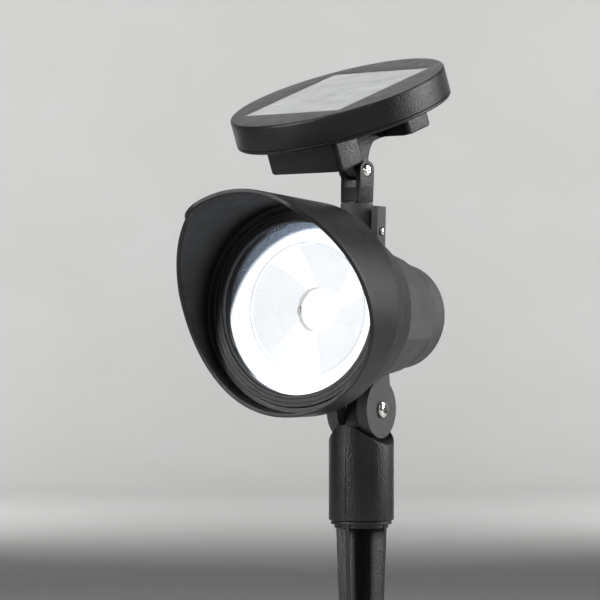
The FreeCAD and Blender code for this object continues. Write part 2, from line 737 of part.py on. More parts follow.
def make_lens_stack():
    """Bezel ring with two fine grooves, clear lens and its gasket."""
    bezel = new_body("bezel_ring", LAMP)
    turn(bezel, "ring", [
        ("bezel_opening", "collar_neck_front"),
        ("bezel_radius", "collar_neck_front"),
        ("bezel_radius", "bezel_front"),
        ("bezel_radius - 1.4", "bezel_front"),
        ("bezel_radius - 1.4", "bezel_front - 0.5"),
        ("bezel_radius - 1.8", "bezel_front - 0.5"),
        ("bezel_radius - 1.8", "bezel_front"),
        ("bezel_opening + 2.2", "bezel_front"),
        ("bezel_opening + 2.2", "bezel_front - 0.5"),
        ("bezel_opening + 1.8", "bezel_front - 0.5"),
        ("bezel_opening + 1.8", "bezel_front"),
        ("bezel_opening + 0.5", "bezel_front"),
        ("bezel_opening", "bezel_front - 0.5"),
    ])
    lens = new_body("lens", LAMP)
    turn(lens, "disc", [
        ("0", "lens_back"),
        ("lens_radius", "lens_back"),
        ("lens_radius", "lens_back + lens_thickness"),
        ("bezel_opening - 0.3", "lens_back + lens_thickness"),
        ("bezel_opening - 1.2", "lens_back + lens_thickness + 0.7"),
        ("0", "lens_back + lens_thickness + 0.7"),
    ])
    gasket = new_body("lens_gasket", LAMP)
    turn(gasket, "ring", [
        ("bezel_opening + 0.8", "lens_seat"),
        ("lens_radius", "lens_seat"),
        ("lens_radius", "lens_back"),
        ("bezel_opening + 0.8", "lens_back"),
    ])


def make_light_source():
    """Reflector, emitter dome, LED chips on their board, and the plate that carries and cools them."""
    reflector = new_body("reflector", LAMP)
    turn(reflector, "cup", [
        ("reflector_hub_radius", "reflector_back"),
        ("reflector_hub_radius + reflector_wall", "reflector_back"),
        ("reflector_cup_radius + reflector_wall", "reflector_front - reflector_rim", "42", -1),
        ("bezel_opening", "reflector_front - reflector_wall"),
        ("bezel_opening + 4", "reflector_front - reflector_wall"),
        ("bezel_opening + 4", "reflector_front"),
        ("bezel_opening - 0.4", "reflector_front"),
        ("reflector_cup_radius", "reflector_front - reflector_rim + reflector_wall"),
        ("reflector_hub_radius", "reflector_back + reflector_wall", "41", 1),
    ])
    emitter = new_body("emitter_dome", LAMP)
    turn(emitter, "dome", [
        ("0", "board_front + led_chip_height"),
        ("emitter_radius - 1", "board_front + led_chip_height"),
        ("emitter_radius - 1", "board_front"),
        ("emitter_radius + 1.4", "board_front"),
        ("emitter_radius + 1.4", "board_front + 0.8"),
        ("emitter_radius", "board_front + 0.8"),
        ("0", "board_front + 0.8 + emitter_height", "(emitter_radius ^ 2 + emitter_height ^ 2) / (2 * emitter_height)", -1),
    ])
    chips = new_body("led_chips", LAMP)
    half = "led_chip_width / 2"
    pad(chips, "chip", "XY", [box_corners(f"-{half}", half, f"-{half}", half)],
        "board_front", "board_front + led_chip_height")
    pitch = value("led_chip_pitch") / 2
    copies("led_chips", chips, [Placement(Vector(x, y, 0), Rotation())
                                for x in (-pitch, pitch) for y in (-pitch, pitch)])
    board = new_body("led_board", LAMP)
    pad(board, "disc", "XY", [("0", "0", "led_board_radius"),
                              ("-board_screw_spacing / 2", "0", "board_screw_dia / 2 + seat_gap"),
                              ("board_screw_spacing / 2", "0", "board_screw_dia / 2 + seat_gap")],
        "board_back", "board_front")
    spreader = new_body("heat_spreader", LAMP)
    pad(spreader, "plate", "XY", [("0", "0", "spreader_radius"),
                                  ("-board_screw_spacing / 2", "0", "board_screw_dia / 2 + seat_gap"),
                                  ("board_screw_spacing / 2", "0", "board_screw_dia / 2 + seat_gap")],
        "spreader_back", "board_back")
    slot = pocket(spreader, "vent", "XY", [("0", "-spreader_radius * 0.66", "spreader_radius * 0.16")],
                  "spreader_back - 1", "board_back + 1")
    ring_of(spreader, "vents", slot, "6")
    screw = fastener("board_screws", LAMP, "board_screw_dia / 2", "spreader_back - 0.4",
                     "board_screw_dia * 0.9", "board_front", "board_head_height", "0.6")
    reach = value("board_screw_spacing") / 2
    copies("board_screws", screw, [Placement(Vector(x, 0, 0), Rotation()) for x in (-reach, reach)])


def make_housing_fixings():
    """O-ring on the collar's spigot and the three long screws that pull the collar in."""
    seal = new_body("housing_seal", LAMP)
    turn(seal, "ring", [
        ("spigot_radius - 0.95", "spigot_end + 2.1"),
        ("spigot_radius", "spigot_end + 2.1"),
        ("spigot_radius", "spigot_end + 3.5"),
        ("spigot_radius - 0.95", "spigot_end + 3.5"),
    ])
    backwards = LAMP * Placement(Vector(), Rotation(Vector(1, 0, 0), 180))
    screw = fastener("housing_screws", backwards, "boss_screw_dia / 2", "-spigot_end - 2.4",
                     "boss_screw_dia - 0.2", "-housing_back - 2", "1.7", "0.9")
    spread = [math.radians(90 + 120 * k) for k in range(3)]
    radius = value("boss_ring_radius")
    copies("housing_screws", screw,
           [Placement(Vector(radius * math.cos(a), radius * math.sin(a), 0), Rotation()) for a in spread])


# ---------------------------------------------------------------- arm
def make_arm():
    """Forked arm that turns in the lamp's socket, and its screws, washer and nut."""
    fork = new_body("swivel_fork", ARM)
    wide = "fork_half_width"
    deep = "fork_depth / 2"
    pad(fork, "cheeks", "YZ", [[
        (f"-{deep}", "-fork_block_bottom"), (deep, "-fork_block_bottom"), (deep, "0"),
        (f"-{deep}", "0", f"{deep} + 0.001", -1),
    ]], f"-{wide}", wide)
    round_edges(fork, "soft_corners", "0.7", straight_along("z", "-fork_block_bottom", "1"))
    pad(fork, "post", "XY", [("0", "0", "post_radius")], "post_bottom", "-fork_block_bottom + 1")
    pad(fork, "nut_boss", "YZ", [("0", "0", "nut_boss_radius")],
        f"-{wide} - nut_boss_length", f"-{wide} + 0.8")
    pocket(fork, "slot", "XZ", [box_corners("-fork_slot / 2", "fork_slot / 2", "-fork_slot_depth",
                                            f"{deep} + 1")], f"-{deep} - 1", f"{deep} + 1")
    pocket(fork, "cross_bore", "YZ", [("0", "0", "panel_screw_dia / 2 + seat_gap")],
           f"-{wide} - nut_boss_length - 1", f"{wide} + 1")
    pocket(fork, "head_recess", "YZ", [("0", "0", "panel_head_dia / 2 + 0.3")],
           f"{wide} - panel_head_recess", f"{wide} + 1")
    pocket(fork, "nut_pocket", "YZ", [hexagon("0", "0", "panel_nut_flats + 2 * seat_gap")],
           f"-{wide} - nut_boss_length - 1", f"-{wide} - nut_boss_length + panel_nut_height + 0.2")
    pocket(fork, "screw_pilot", "XY", [("0", "0", "swivel_screw_dia / 2 + seat_gap")],
           "post_bottom - 1", "post_bottom + 7.5")
    across = ARM * Placement(Vector(), Rotation(Vector(0, 1, 0), 90))
    fastener("panel_screw", across, "panel_screw_dia / 2", f"-{wide} - nut_boss_length + 0.3",
             "panel_head_dia / 2", f"{wide} - panel_head_recess", "panel_head_height", "1")
    nut = new_body("panel_nut", across)
    pad(nut, "hexagon", "XY", [hexagon("0", "0", "panel_nut_flats", 30),
                               ("0", "0", "panel_screw_dia / 2 + seat_gap")],
        f"-{wide} - nut_boss_length + 0.15", f"-{wide} - nut_boss_length + 0.15 + panel_nut_height")
    washer = new_body("swivel_washer", ARM)
    pad(washer, "ring", "XY", [("0", "0", "swivel_washer_dia / 2"),
                               ("0", "0", "swivel_screw_dia / 2 + seat_gap")],
        "swivel_washer_top - swivel_washer_thickness", "swivel_washer_top")
    upside_down = ARM * Placement(Vector(), Rotation(Vector(1, 0, 0), 180))
    fastener("swivel_screw", upside_down, "swivel_screw_dia / 2", "-post_bottom - 7",
             "swivel_head_dia / 2", "-swivel_washer_top + swivel_washer_thickness",
             "swivel_head_height", "1")
    lock_place = LAMP * Placement(Vector(0, value("lock_screw_height"), value("socket_place")),
                                  Rotation(Vector(0, 1, 0), 90))
    fastener("lock_screw", lock_place, "lock_screw_dia / 2", "socket_radius - 2.8",
             "lock_head_dia / 2", "lug_bar_far", "lock_head_height", "0.8")


# ---------------------------------------------------------------- solar panel
def make_panel_shell():
    """Round upper shell with a square recess for the solar cell and four screw bosses."""
    body = new_body("panel_shell", PANEL)
    turn(body, "drum", [
        ("0", "shell_ceiling"),
        ("shell_bore", "shell_ceiling"),
        ("shell_bore", "panel_split + 0.2"),
        ("panel_radius - 0.25", "panel_split + 0.2"),
        ("panel_radius", "panel_split + 0.45"),
        ("panel_radius", "panel_top - panel_top_round"),
        ("panel_radius - panel_top_round", "panel_top", "panel_top_round + 0.001", -1),
        ("0", "panel_top"),
    ])
    half = "cell_recess / 2"
    pocket(body, "cell_recess_cut", "XY", [box_corners(f"-{half}", half, f"-{half}", half)],
           "recess_floor", "panel_top + 1")
    reach = "base_screw_radius * cos(45)"
    boss = pad(body, "boss", "XY", [(reach, reach, "base_boss_radius")],
               "base_top + seat_gap", "shell_ceiling + 0.4")
    ring_of(body, "bosses", boss, "4")
    hole = pocket(body, "boss_hole", "XY", [(reach, reach, "base_screw_dia / 2 + seat_gap")],
                  "base_top - 1", "shell_ceiling - 0.6")
    ring_of(body, "boss_holes", hole, "4")
    return body


def make_panel_base():
    """Lower cover of the panel with the C-shaped battery box, the hinge lug, and the seats of what
    lies inside."""
    body = new_body("panel_base", PANEL)
    turn(body, "floor", [
        ("0", "panel_bottom"),
        ("panel_radius - panel_edge_round", "panel_bottom"),
        ("panel_radius", "panel_split", "panel_edge_round + 0.001", -1),
        ("shell_bore - 0.1", "panel_split"),
        ("shell_bore - 0.1", "base_top"),
        ("0", "base_top"),
    ])
    wide = "case_half_width"
    pad(body, "battery_box", "XY", [[
        (f"-{wide}", "-case_front"), ("case_front_reach", "-case_front"), ("case_front_reach", "-notch_half_length"),
        ("notch_inner", "-notch_half_length"), ("notch_inner", "notch_half_length"),
        (wide, "notch_half_length"), (wide, "case_back"), (f"-{wide}", "case_back"),
    ]], "case_bottom", "panel_bottom + 0.5")
    round_edges(body, "box_corners", "case_corner", straight_along("z", "case_bottom", "panel_bottom"))
    gusset = [
        ("-hinge_lug_radius", "0"),
        ("hinge_lug_radius", "0", "hinge_lug_radius + 0.001", -1),
        ("hinge_lug_flare", "case_bottom + 0.6", "14", 1),
        ("-hinge_lug_flare", "case_bottom + 0.6"),
        ("-hinge_lug_radius", "0", "14", 1),
    ]
    pad(body, "hinge_lug", "YZ", [gusset[1:]], "-hinge_lug_half", "hinge_lug_half")
    pocket(body, "hinge_bore", "YZ", [("0", "0", "panel_screw_dia / 2 + running_gap")],
           "-hinge_lug_half - 1", "hinge_lug_half + 1")
    pocket(body, "battery_bay", "XY", [[
        ("-bay_outer", "-case_front + case_wall"), ("bay_front", "-case_front + case_wall"),
        ("bay_front", "-notch_half_length - case_wall"), ("bay_inner", "-notch_half_length - case_wall"),
        ("bay_inner", "notch_half_length + case_wall"), ("bay_outer", "notch_half_length + case_wall"),
        ("bay_outer", "case_back - case_wall"), ("-bay_outer", "case_back - case_wall"),
    ]], "case_floor", "base_top + 1")
    for name, near, far in (("front_rib", "-contact_face - contact_plate - contact_rib",
                             "-contact_face - contact_plate"),
                            ("back_rib", "contact_face + contact_plate",
                             "contact_face + contact_plate + contact_rib")):
        pad(body, name, "XY", [box_corners("-bay_outer - 0.5", "bay_inner", near, far)],
            "case_floor - 0.5", "panel_bottom")
    for name, row in (("front_standoff", "-1"), ("back_standoff", "1")):
        pad(body, name, "XY", [("charge_board_place", f"{row} * standoff_spacing / 2 * 0.8", "standoff_radius")],
            "base_top - 0.5", "board_height")
        pocket(body, name + "_pilot", "XY", [("charge_board_place", f"{row} * standoff_spacing / 2 * 0.8",
                                              "0.8")], "base_top + 0.2", "board_height + 1")
    reach = "base_screw_radius * cos(45)"
    hole = pocket(body, "screw_hole", "XY", [(reach, reach, "base_screw_dia / 2 + seat_gap")],
                  "panel_bottom - 1", "base_top + 1")
    ring_of(body, "screw_holes", hole, "4")
    seat = pocket(body, "screw_seat", "XY", [(reach, reach, "base_screw_head / 2 + 0.2")],
                  "panel_bottom - 1", "panel_bottom + 1.3")
    ring_of(body, "screw_seats", seat, "4")
    pocket(body, "switch_slot", "XY", [box_corners(
        "switch_place - knob_length / 2 - moving_gap",
        "switch_place + knob_length / 2 + switch_travel + moving_gap",
        "switch_row - knob_width / 2 - moving_gap",
        "switch_row + knob_width / 2 + moving_gap")], "case_bottom - 1", "case_floor + 1")
    return body


def make_panel_inside():
    """Seal, screws, battery, contacts, charge board and switch."""
    seal = new_body("panel_seal", PANEL)
    turn(seal, "ring", [
        ("shell_bore - 0.1 - panel_gasket_width", "base_top"),
        ("shell_bore - 0.1", "base_top"),
        ("shell_bore - 0.1", "base_top + panel_gasket_height"),
        ("shell_bore - 0.1 - panel_gasket_width", "base_top + panel_gasket_height"),
    ])
    downwards = PANEL * Placement(Vector(), Rotation(Vector(1, 0, 0), 180))
    screw = fastener("base_screws", downwards, "base_screw_dia / 2", "-shell_ceiling + 1",
                     "base_screw_head / 2", "-panel_bottom - 1.3", "1.2", "0.7")
    reach = value("base_screw_radius") * math.cos(math.radians(45))
    copies("base_screws", screw, [Placement(Vector(x, y, 0), Rotation())
                                  for x in (-reach, reach) for y in (-reach, reach)])
    along = PANEL * Placement(Vector(value("battery_place"), 0, value("battery_height")),
                              Rotation(Vector(1, 0, 0), 90))
    battery = new_body("battery", along)
    turn(battery, "cell", [
        ("0", "-cell_length / 2"),
        ("cell_dia / 2 - 0.8", "-cell_length / 2"),
        ("cell_dia / 2", "-cell_length / 2 + 0.8"),
        ("cell_dia / 2", "cell_length / 2 - 2"),
        ("cell_dia / 2 - 0.8", "cell_length / 2 - 1.2"),
        ("3.2", "cell_length / 2 - 1.2"),
        ("2.9", "cell_length / 2"),
        ("0", "cell_length / 2"),
    ])
    contact = new_body("battery_contacts", along)
    half = "contact_width / 2"
    pad(contact, "plate", "XY", [box_corners(f"-{half}", half, f"-{half}", half)],
        "contact_face", "contact_face + contact_plate")
    turn(contact, "dimple", [
        ("0", "contact_face + 0.2"),
        ("3.4", "contact_face + 0.2"),
        ("2", "contact_face - contact_reach + 0.3"),
        ("0", "contact_face - contact_reach + 0.3"),
    ])
    copies("battery_contacts", contact, [Placement(), Placement(Vector(), Rotation(Vector(1, 0, 0), 180))])
    board = new_body("charge_board", PANEL)
    long_side = "charge_board_length / 2"
    short_side = "charge_board_width / 2"
    middle = "charge_board_place"
    screw_row = "standoff_spacing / 2 * 0.8"
    pad(board, "board", "XY", [
        box_corners(f"{middle} - {long_side}", f"{middle} + {long_side}", f"-{short_side}", short_side),
        (middle, f"-{screw_row}", "1.1"), (middle, screw_row, "1.1"),
    ], "board_height", "board_height + charge_board_thickness")
    surface = "board_height + charge_board_thickness"
    chip = new_body("charge_chips", PANEL)
    pad(chip, "controller", "XY", [box_corners(f"{middle} - 9", f"{middle} - 4", "-2.5", "2.5")],
        surface, f"{surface} + 1.4")
    chip.Label = "charge_controller"
    chips = doc.addObject("Part::Feature", "charge_chips_set")
    chips.Label = "charge_chips"
    coil = Part.makeCylinder(3.2, 2.2, Vector(value(middle) + 6.5, 0, value(surface)))
    chips.Shape = Part.makeCompound([chip.Tip.Shape.copy(), coil])
    chips.Placement = PANEL
    subparts.remove(chip)
    subparts.append(chips)
    fixings = fastener("charge_board_screws", PANEL, "0.75", "base_top + 0.4", "1.7", surface, "1.2", "0.6")
    row = value(screw_row)
    copies("charge_board_screws", fixings,
           [Placement(Vector(value(middle), y, 0), Rotation()) for y in (-row, row)])
    case = new_body("switch_case", PANEL)
    centre = "switch_place + switch_travel / 2"
    pad(case, "case", "XY", [box_corners(
        f"{centre} - switch_case_length / 2", f"{centre} + switch_case_length / 2",
        "switch_row - switch_case_width / 2", "switch_row + switch_case_width / 2")],
        "switch_case_bottom", "switch_case_bottom + switch_case_height")
    slider = new_body("switch_slider", PANEL)
    pad(slider, "plate", "XY", [box_corners(
        "switch_place - slider_plate_length / 2", "switch_place + slider_plate_length / 2",
        "switch_row - slider_plate_width / 2", "switch_row + slider_plate_width / 2")],
        "slider_bottom", "slider_top")
    pad(slider, "knob", "XY", [box_corners(
        "switch_place - knob_length / 2", "switch_place + knob_length / 2",
        "switch_row - knob_width / 2", "switch_row + knob_width / 2")],
        "case_bottom - knob_drop", "slider_bottom + 0.5")


def make_solar_cell():
    """Board, wafer strips, two busbars and the clear cover that fill the shell's recess."""
    half = "laminate_side / 2"
    inner = "laminate_side / 2 - laminate_margin"
    laminate = new_body("solar_laminate", PANEL)
    pad(laminate, "board", "XY", [box_corners(f"-{half}", half, f"-{half}", half)],
        "recess_floor", "wafer_bottom")
    strip = f"((2 * ({inner}) + wafer_gap) / wafer_count - wafer_gap)"
    wafer = new_body("solar_wafers", PANEL)
    pad(wafer, "strip", "XY", [box_corners(f"-({inner})", f"-({inner}) + {strip}", f"-({inner})", inner)],
        "wafer_bottom", "wafer_top")
    step = value(strip) + value("wafer_gap")
    copies("solar_wafers", wafer, [Placement(Vector(k * step, 0, 0), Rotation())
                                   for k in range(int(value("wafer_count")))])
    bar = new_body("solar_busbars", PANEL)
    pad(bar, "bar", "XY", [box_corners(f"-({inner})", inner, "-busbar_width / 2", "busbar_width / 2")],
        "wafer_top", "cover_bottom")
    row = value(inner) / 2
    copies("solar_busbars", bar, [Placement(Vector(0, y, 0), Rotation()) for y in (-row, row)])
    cover = new_body("solar_cover", PANEL)
    pad(cover, "sheet", "XY", [box_corners(f"-{half}", half, f"-{half}", half)],
        "cover_bottom", "cover_bottom + cover_thickness")


make_ground_spike()
make_stake_tube()
make_knuckle()
make_rear_housing()
make_front_collar()
make_hood()
make_lens_stack()
make_light_source()
make_housing_fixings()
make_arm()
make_panel_shell()
make_panel_base()
make_panel_inside()
make_solar_cell()
doc.recompute()

# ---------------------------------------------------------------- checks and files
failed = [f"{item.Label} ({item.InList[0].Label if item.InList else 'document'})"
          for item in doc.Objects if "Invalid" in item.State or "Error" in item.State]
if failed:
    raise RuntimeError("failed: " + ", ".join(failed))
os.makedirs("parts", exist_ok=True)
for part in subparts:
    shape = part.Shape
    if shape.isNull() or not shape.isValid() or not shape.Solids:
        raise RuntimeError(f"{part.Label} has no valid shape")
    shape.exportStep(f"parts/{part.Label}.step")
    box = shape.BoundBox
    print(f"{part.Label:22s} solids {len(shape.Solids)}  volume {shape.Volume:9.1f}"
          f"  x {box.XMin:7.1f} {box.XMax:7.1f}  y {box.YMin:7.1f} {box.YMax:7.1f}"
          f"  z {box.ZMin:7.1f} {box.ZMax:7.1f}")
print(len(subparts), "sub-parts")
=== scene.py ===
# %% [markdown]
# # A solar garden spotlight
# A visor lamp on a ground stake, with a small round solar panel on an arm above it. Nearly all of it
# is injection-moulded black plastic, so the picture depends on three things: soft edges that catch
# light, a fine moulded grain, and large soft lamps that draw long highlights on the round forms.
# The CAD frame gives every piece its place. This lesson rebuilds the visible shells as clean meshes
# with rounded edges, and finishes the small pieces where the CAD left them.

# %% Load the frame
import json
import math

import bmesh
import bpy
from mathutils import Matrix, Vector


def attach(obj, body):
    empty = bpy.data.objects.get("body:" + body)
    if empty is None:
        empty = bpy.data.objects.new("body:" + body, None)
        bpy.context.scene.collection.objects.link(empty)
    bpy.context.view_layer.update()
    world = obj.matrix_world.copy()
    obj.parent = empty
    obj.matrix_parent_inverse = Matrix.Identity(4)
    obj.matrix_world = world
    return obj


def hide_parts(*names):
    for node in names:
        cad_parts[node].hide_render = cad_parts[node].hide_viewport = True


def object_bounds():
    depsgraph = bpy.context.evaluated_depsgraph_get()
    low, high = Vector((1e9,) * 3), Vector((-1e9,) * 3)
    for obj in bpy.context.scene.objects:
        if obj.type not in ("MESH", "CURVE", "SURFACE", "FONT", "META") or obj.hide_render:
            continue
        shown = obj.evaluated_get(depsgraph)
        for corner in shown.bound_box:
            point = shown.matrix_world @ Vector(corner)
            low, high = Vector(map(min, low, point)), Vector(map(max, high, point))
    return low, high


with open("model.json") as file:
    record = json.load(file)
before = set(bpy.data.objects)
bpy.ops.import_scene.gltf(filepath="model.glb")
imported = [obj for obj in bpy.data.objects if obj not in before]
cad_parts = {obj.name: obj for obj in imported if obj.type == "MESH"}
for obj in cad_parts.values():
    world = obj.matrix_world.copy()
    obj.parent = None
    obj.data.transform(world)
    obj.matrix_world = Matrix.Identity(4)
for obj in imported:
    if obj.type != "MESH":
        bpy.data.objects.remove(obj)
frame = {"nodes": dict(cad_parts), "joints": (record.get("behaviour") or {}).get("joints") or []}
cad_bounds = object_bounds()
nodes = frame["nodes"]
joints = {joint["name"]: joint for joint in frame["joints"]}
MM = 0.001

# %% [markdown]
# ## Working frames
# The lamp is pitched nose-up on its knuckle, and the panel swivels and slopes on its arm. Modelling
# in a tilted world is hard, so each group gets a matrix that turns local millimetres into world
# metres. The hinge points and axes come from the frame's joints, so no angle is guessed twice.

# %% Matrices of the stake, lamp, arm and panel
AXIS_HEIGHT = 43.8
SOCKET_PLACE = 8.0
PANEL_SLOPE = math.radians(22.4)
pivot = Vector(joints["lamp_tilt"]["pos_m"])
lamp_up = Vector(joints["arm_swivel"]["axis"]).normalized()
hinge = Vector(joints["panel_tilt"]["pos_m"])
hinge_axis = Vector(joints["panel_tilt"]["axis"]).normalized()


def local_frame(origin, x_axis, y_axis):
    """A matrix from local millimetres to world metres."""
    z_axis = x_axis.cross(y_axis)
    turn = Matrix((x_axis, y_axis, z_axis)).transposed().to_4x4()
    return Matrix.Translation(origin) @ turn @ Matrix.Scale(MM, 4)


X_AXIS = Vector((1, 0, 0))
STAKE = Matrix.Scale(MM, 4)
LAMP = local_frame(pivot + lamp_up * AXIS_HEIGHT * MM, X_AXIS, lamp_up)
ARM = local_frame(hinge, hinge_axis, lamp_up.cross(hinge_axis))
PANEL = ARM @ Matrix.Rotation(PANEL_SLOPE, 4, "X")
PIVOT_HEIGHT = pivot.z / MM
print("pivot height", round(PIVOT_HEIGHT, 2), "mm")

# %% [markdown]
# ## Three ways to make a clean shell
# Moulded parts are mostly turned or extruded. A *spun* mesh is a profile that goes round an axis, and
# the profile may change with the angle, which makes a visor, a saddle cut or an eight-sided housing as
# easily as a plain ring. An *extruded* mesh is an outline with bevelled rims. A *boolean* then cuts
# the few holes. Every sharp corner in a profile is replaced by a short curve, because a real moulded
# edge is never a knife edge, and that curve is what draws the highlight.

# %% Helpers for outlines
def rounded(points, radius, steps=4, closed=False, support=False):
    """The same outline with each corner softened. A point (x, y, r) has a radius of its own.

    A support point on either side keeps the smooth shading of the corner off the flat faces."""
    result = []
    count = len(points)
    for index, point in enumerate(points):
        here = Vector(point[:2])
        reach = point[2] if len(point) == 3 else radius
        at_end = not closed and index in (0, count - 1)
        if at_end or reach <= 0:
            result.append(tuple(here))
            continue
        before = Vector(points[index - 1][:2]) - here
        after = Vector(points[(index + 1) % count][:2]) - here
        back_reach = min(reach, before.length * 0.45)
        front_reach = min(reach, after.length * 0.45)
        start = here + before.normalized() * back_reach
        end = here + after.normalized() * front_reach
        if support and before.length > back_reach * 3:
            result.append(tuple(here + before.normalized() * back_reach * 1.3))
        for step in range(steps + 1):
            t = step / steps
            result.append(tuple(start * (1 - t) ** 2 + here * 2 * t * (1 - t) + end * t ** 2))
        if support and after.length > front_reach * 3:
            result.append(tuple(here + after.normalized() * front_reach * 1.3))
    return result


def arc(start, end, radius, side, steps=12):
    """Points after start up to end on an arc that bulges to the left (1) or right (-1)."""
    a = Vector(start)
    b = Vector(end)
    chord = b - a
    left = Vector((-chord.y, chord.x)).normalized()
    centre = (a + b) / 2 - left * side * math.sqrt(radius ** 2 - (chord.length / 2) ** 2)
    first = math.atan2(a.y - centre.y, a.x - centre.x)
    last = math.atan2(b.y - centre.y, b.x - centre.x)
    sweep = (last - first + math.pi) % (2 * math.pi) - math.pi
    return [(centre.x + radius * math.cos(first + sweep * k / steps),
             centre.y + radius * math.sin(first + sweep * k / steps)) for k in range(1, steps + 1)]


def circle(u, v, radius, steps=48):
    return [(u + radius * math.cos(2 * math.pi * k / steps), v + radius * math.sin(2 * math.pi * k / steps))
            for k in range(steps)]


def rectangle(u_low, u_high, v_low, v_high):
    return [(u_low, v_low), (u_high, v_low), (u_high, v_high), (u_low, v_high)]


# %% Helpers that make meshes
SMOOTH_ANGLE = math.radians(38)


def mesh_object(name, verts, faces, place):
    """A smooth-shaded mesh from local points."""
    mesh = bpy.data.meshes.new(name)
    mesh.from_pydata([place @ Vector(v) for v in verts], [], faces)
    bm = bmesh.new()
    bm.from_mesh(mesh)
    bmesh.ops.remove_doubles(bm, verts=bm.verts, dist=1e-7)
    bmesh.ops.dissolve_degenerate(bm, edges=bm.edges, dist=1e-8)
    bmesh.ops.recalc_face_normals(bm, faces=bm.faces)
    bm.to_mesh(mesh)
    bm.free()
    obj = bpy.data.objects.new(name, mesh)
    bpy.context.scene.collection.objects.link(obj)
    shade(obj)
    return obj


def shade(obj):
    obj.data.polygons.foreach_set("use_smooth", [True] * len(obj.data.polygons))
    obj.data.set_sharp_from_angle(angle=SMOOTH_ANGLE)


def spun(name, profile_at, place, segments=192, closed=False):
    """Sweep profile_at(angle), a list of (radius, height), around local Z. Angle 0 is local +Y."""
    verts = []
    rings = []
    for k in range(segments):
        angle = 2 * math.pi * k / segments
        ring = []
        for radius, height in profile_at(angle):
            ring.append(len(verts))
            verts.append((radius * math.sin(angle), radius * math.cos(angle), height))
        rings.append(ring)
    faces = []
    count = len(rings[0])
    for k in range(segments):
        one = rings[k]
        two = rings[(k + 1) % segments]
        for j in range(count if closed else count - 1):
            after = (j + 1) % count
            faces.append((one[j], one[after], two[after], two[j]))
    return mesh_object(name, verts, faces, place)


def turned(name, profile, place, radius=0.3, segments=128, closed=True):
    """A spun piece whose profile is the same all round."""
    outline = rounded(profile, radius, closed=closed, support=True)
    return spun(name, lambda angle: outline, place, segments, closed)


def along(axis, u, v, w):
    """Local point from outline coordinates (u, v) and the distance w along the extrusion axis."""
    return {"x": (w, u, v), "y": (u, w, v), "z": (u, v, w)}[axis]


def extruded(name, outline, low, high, place, axis="z", bevel=0.4):
    """A slab with the given outline and soft rims."""
    count = len(outline)
    bm = bmesh.new()
    rings = []
    for w in (low, high):
        rings.append([bm.verts.new(along(axis, p[0], p[1], w)) for p in outline])
    bottom = bm.faces.new(rings[0])
    top = bm.faces.new(rings[1])
    for k in range(count):
        bm.faces.new((rings[0][k], rings[0][(k + 1) % count], rings[1][(k + 1) % count], rings[1][k]))
    if bevel > 0 and high - bevel > low + bevel:
        edges = list(bottom.edges) + list(top.edges)
        bmesh.ops.bevel(bm, geom=edges, offset=bevel, segments=3, profile=0.5, affect="EDGES",
                        clamp_overlap=True)
    # This pass is needed as well as the one after the move: without it some small cutters cut differently.
    bmesh.ops.recalc_face_normals(bm, faces=bm.faces)
    mesh = bpy.data.meshes.new(name)
    bm.transform(place)
    bmesh.ops.recalc_face_normals(bm, faces=bm.faces)
    bm.to_mesh(mesh)
    bm.free()
    obj = bpy.data.objects.new(name, mesh)
    bpy.context.scene.collection.objects.link(obj)
    shade(obj)
    return obj


def with_boolean(obj, cutters):
    """Cut the cutters out of obj for good, along with any modifier it has, then drop them."""
    for cutter in cutters:
        modifier = obj.modifiers.new("cut", "BOOLEAN")
        modifier.object = cutter
        modifier.operation = "DIFFERENCE"
        modifier.solver = "EXACT"
    bpy.context.view_layer.update()
    graph = bpy.context.evaluated_depsgraph_get()
    mesh = bpy.data.meshes.new_from_object(obj.evaluated_get(graph))
    obj.modifiers.clear()
    old = obj.data
    obj.data = mesh
    bpy.data.meshes.remove(old)
    for cutter in cutters:
        bpy.data.objects.remove(cutter)
    shade(obj)
    return obj


def joined(parts):
    """One object from several, under the first one's name."""
    bpy.ops.object.select_all(action="DESELECT")
    for part in parts:
        part.select_set(True)
    bpy.context.view_layer.objects.active = parts[0]
    bpy.ops.object.join()
    shade(parts[0])
    return parts[0]


# %% [markdown]
# ## Finishes
# Moulded plastic is not one flat black. Its colour clouds very slightly, its gloss changes where it
# was polished or handled, and a spark-eroded mould leaves a grain a few tenths of a millimetre
# across. The same small recipe serves every plastic here, with its own numbers: one noise varies the
# colour, one varies the roughness, and a fine one is the bump.

# %% Material helpers
def new_material(name):
    material = bpy.data.materials.new(name)
    material.use_nodes = True
    tree = material.node_tree
    tree.nodes.clear()
    output = tree.nodes.new("ShaderNodeOutputMaterial")
    shader = tree.nodes.new("ShaderNodeBsdfPrincipled")
    tree.links.new(shader.outputs["BSDF"], output.inputs["Surface"])
    return material, tree, shader


def noise(tree, scale, detail=3.0, roughness=0.5, stretch=(1, 1, 1)):
    """A noise texture in object space; stretch squeezes it along each axis."""
    place = tree.nodes.new("ShaderNodeTexCoord")
    mapping = tree.nodes.new("ShaderNodeMapping")
    mapping.inputs["Scale"].default_value = stretch
    texture = tree.nodes.new("ShaderNodeTexNoise")
    texture.inputs["Scale"].default_value = scale
    texture.inputs["Detail"].default_value = detail
    texture.inputs["Roughness"].default_value = roughness
    tree.links.new(place.outputs["Object"], mapping.inputs["Vector"])
    tree.links.new(mapping.outputs["Vector"], texture.inputs["Vector"])
    return texture.outputs["Fac"]


NOISE_LOW = 0.3
NOISE_HIGH = 0.7


def spread(tree, source, low, high):
    """Turn a noise signal, which rarely leaves its middle band, into a range of plain numbers."""
    node = tree.nodes.new("ShaderNodeMapRange")
    node.inputs["From Min"].default_value = NOISE_LOW
    node.inputs["From Max"].default_value = NOISE_HIGH
    node.inputs["To Min"].default_value = low
    node.inputs["To Max"].default_value = high
    tree.links.new(source, node.inputs["Value"])
    return node.outputs["Result"]


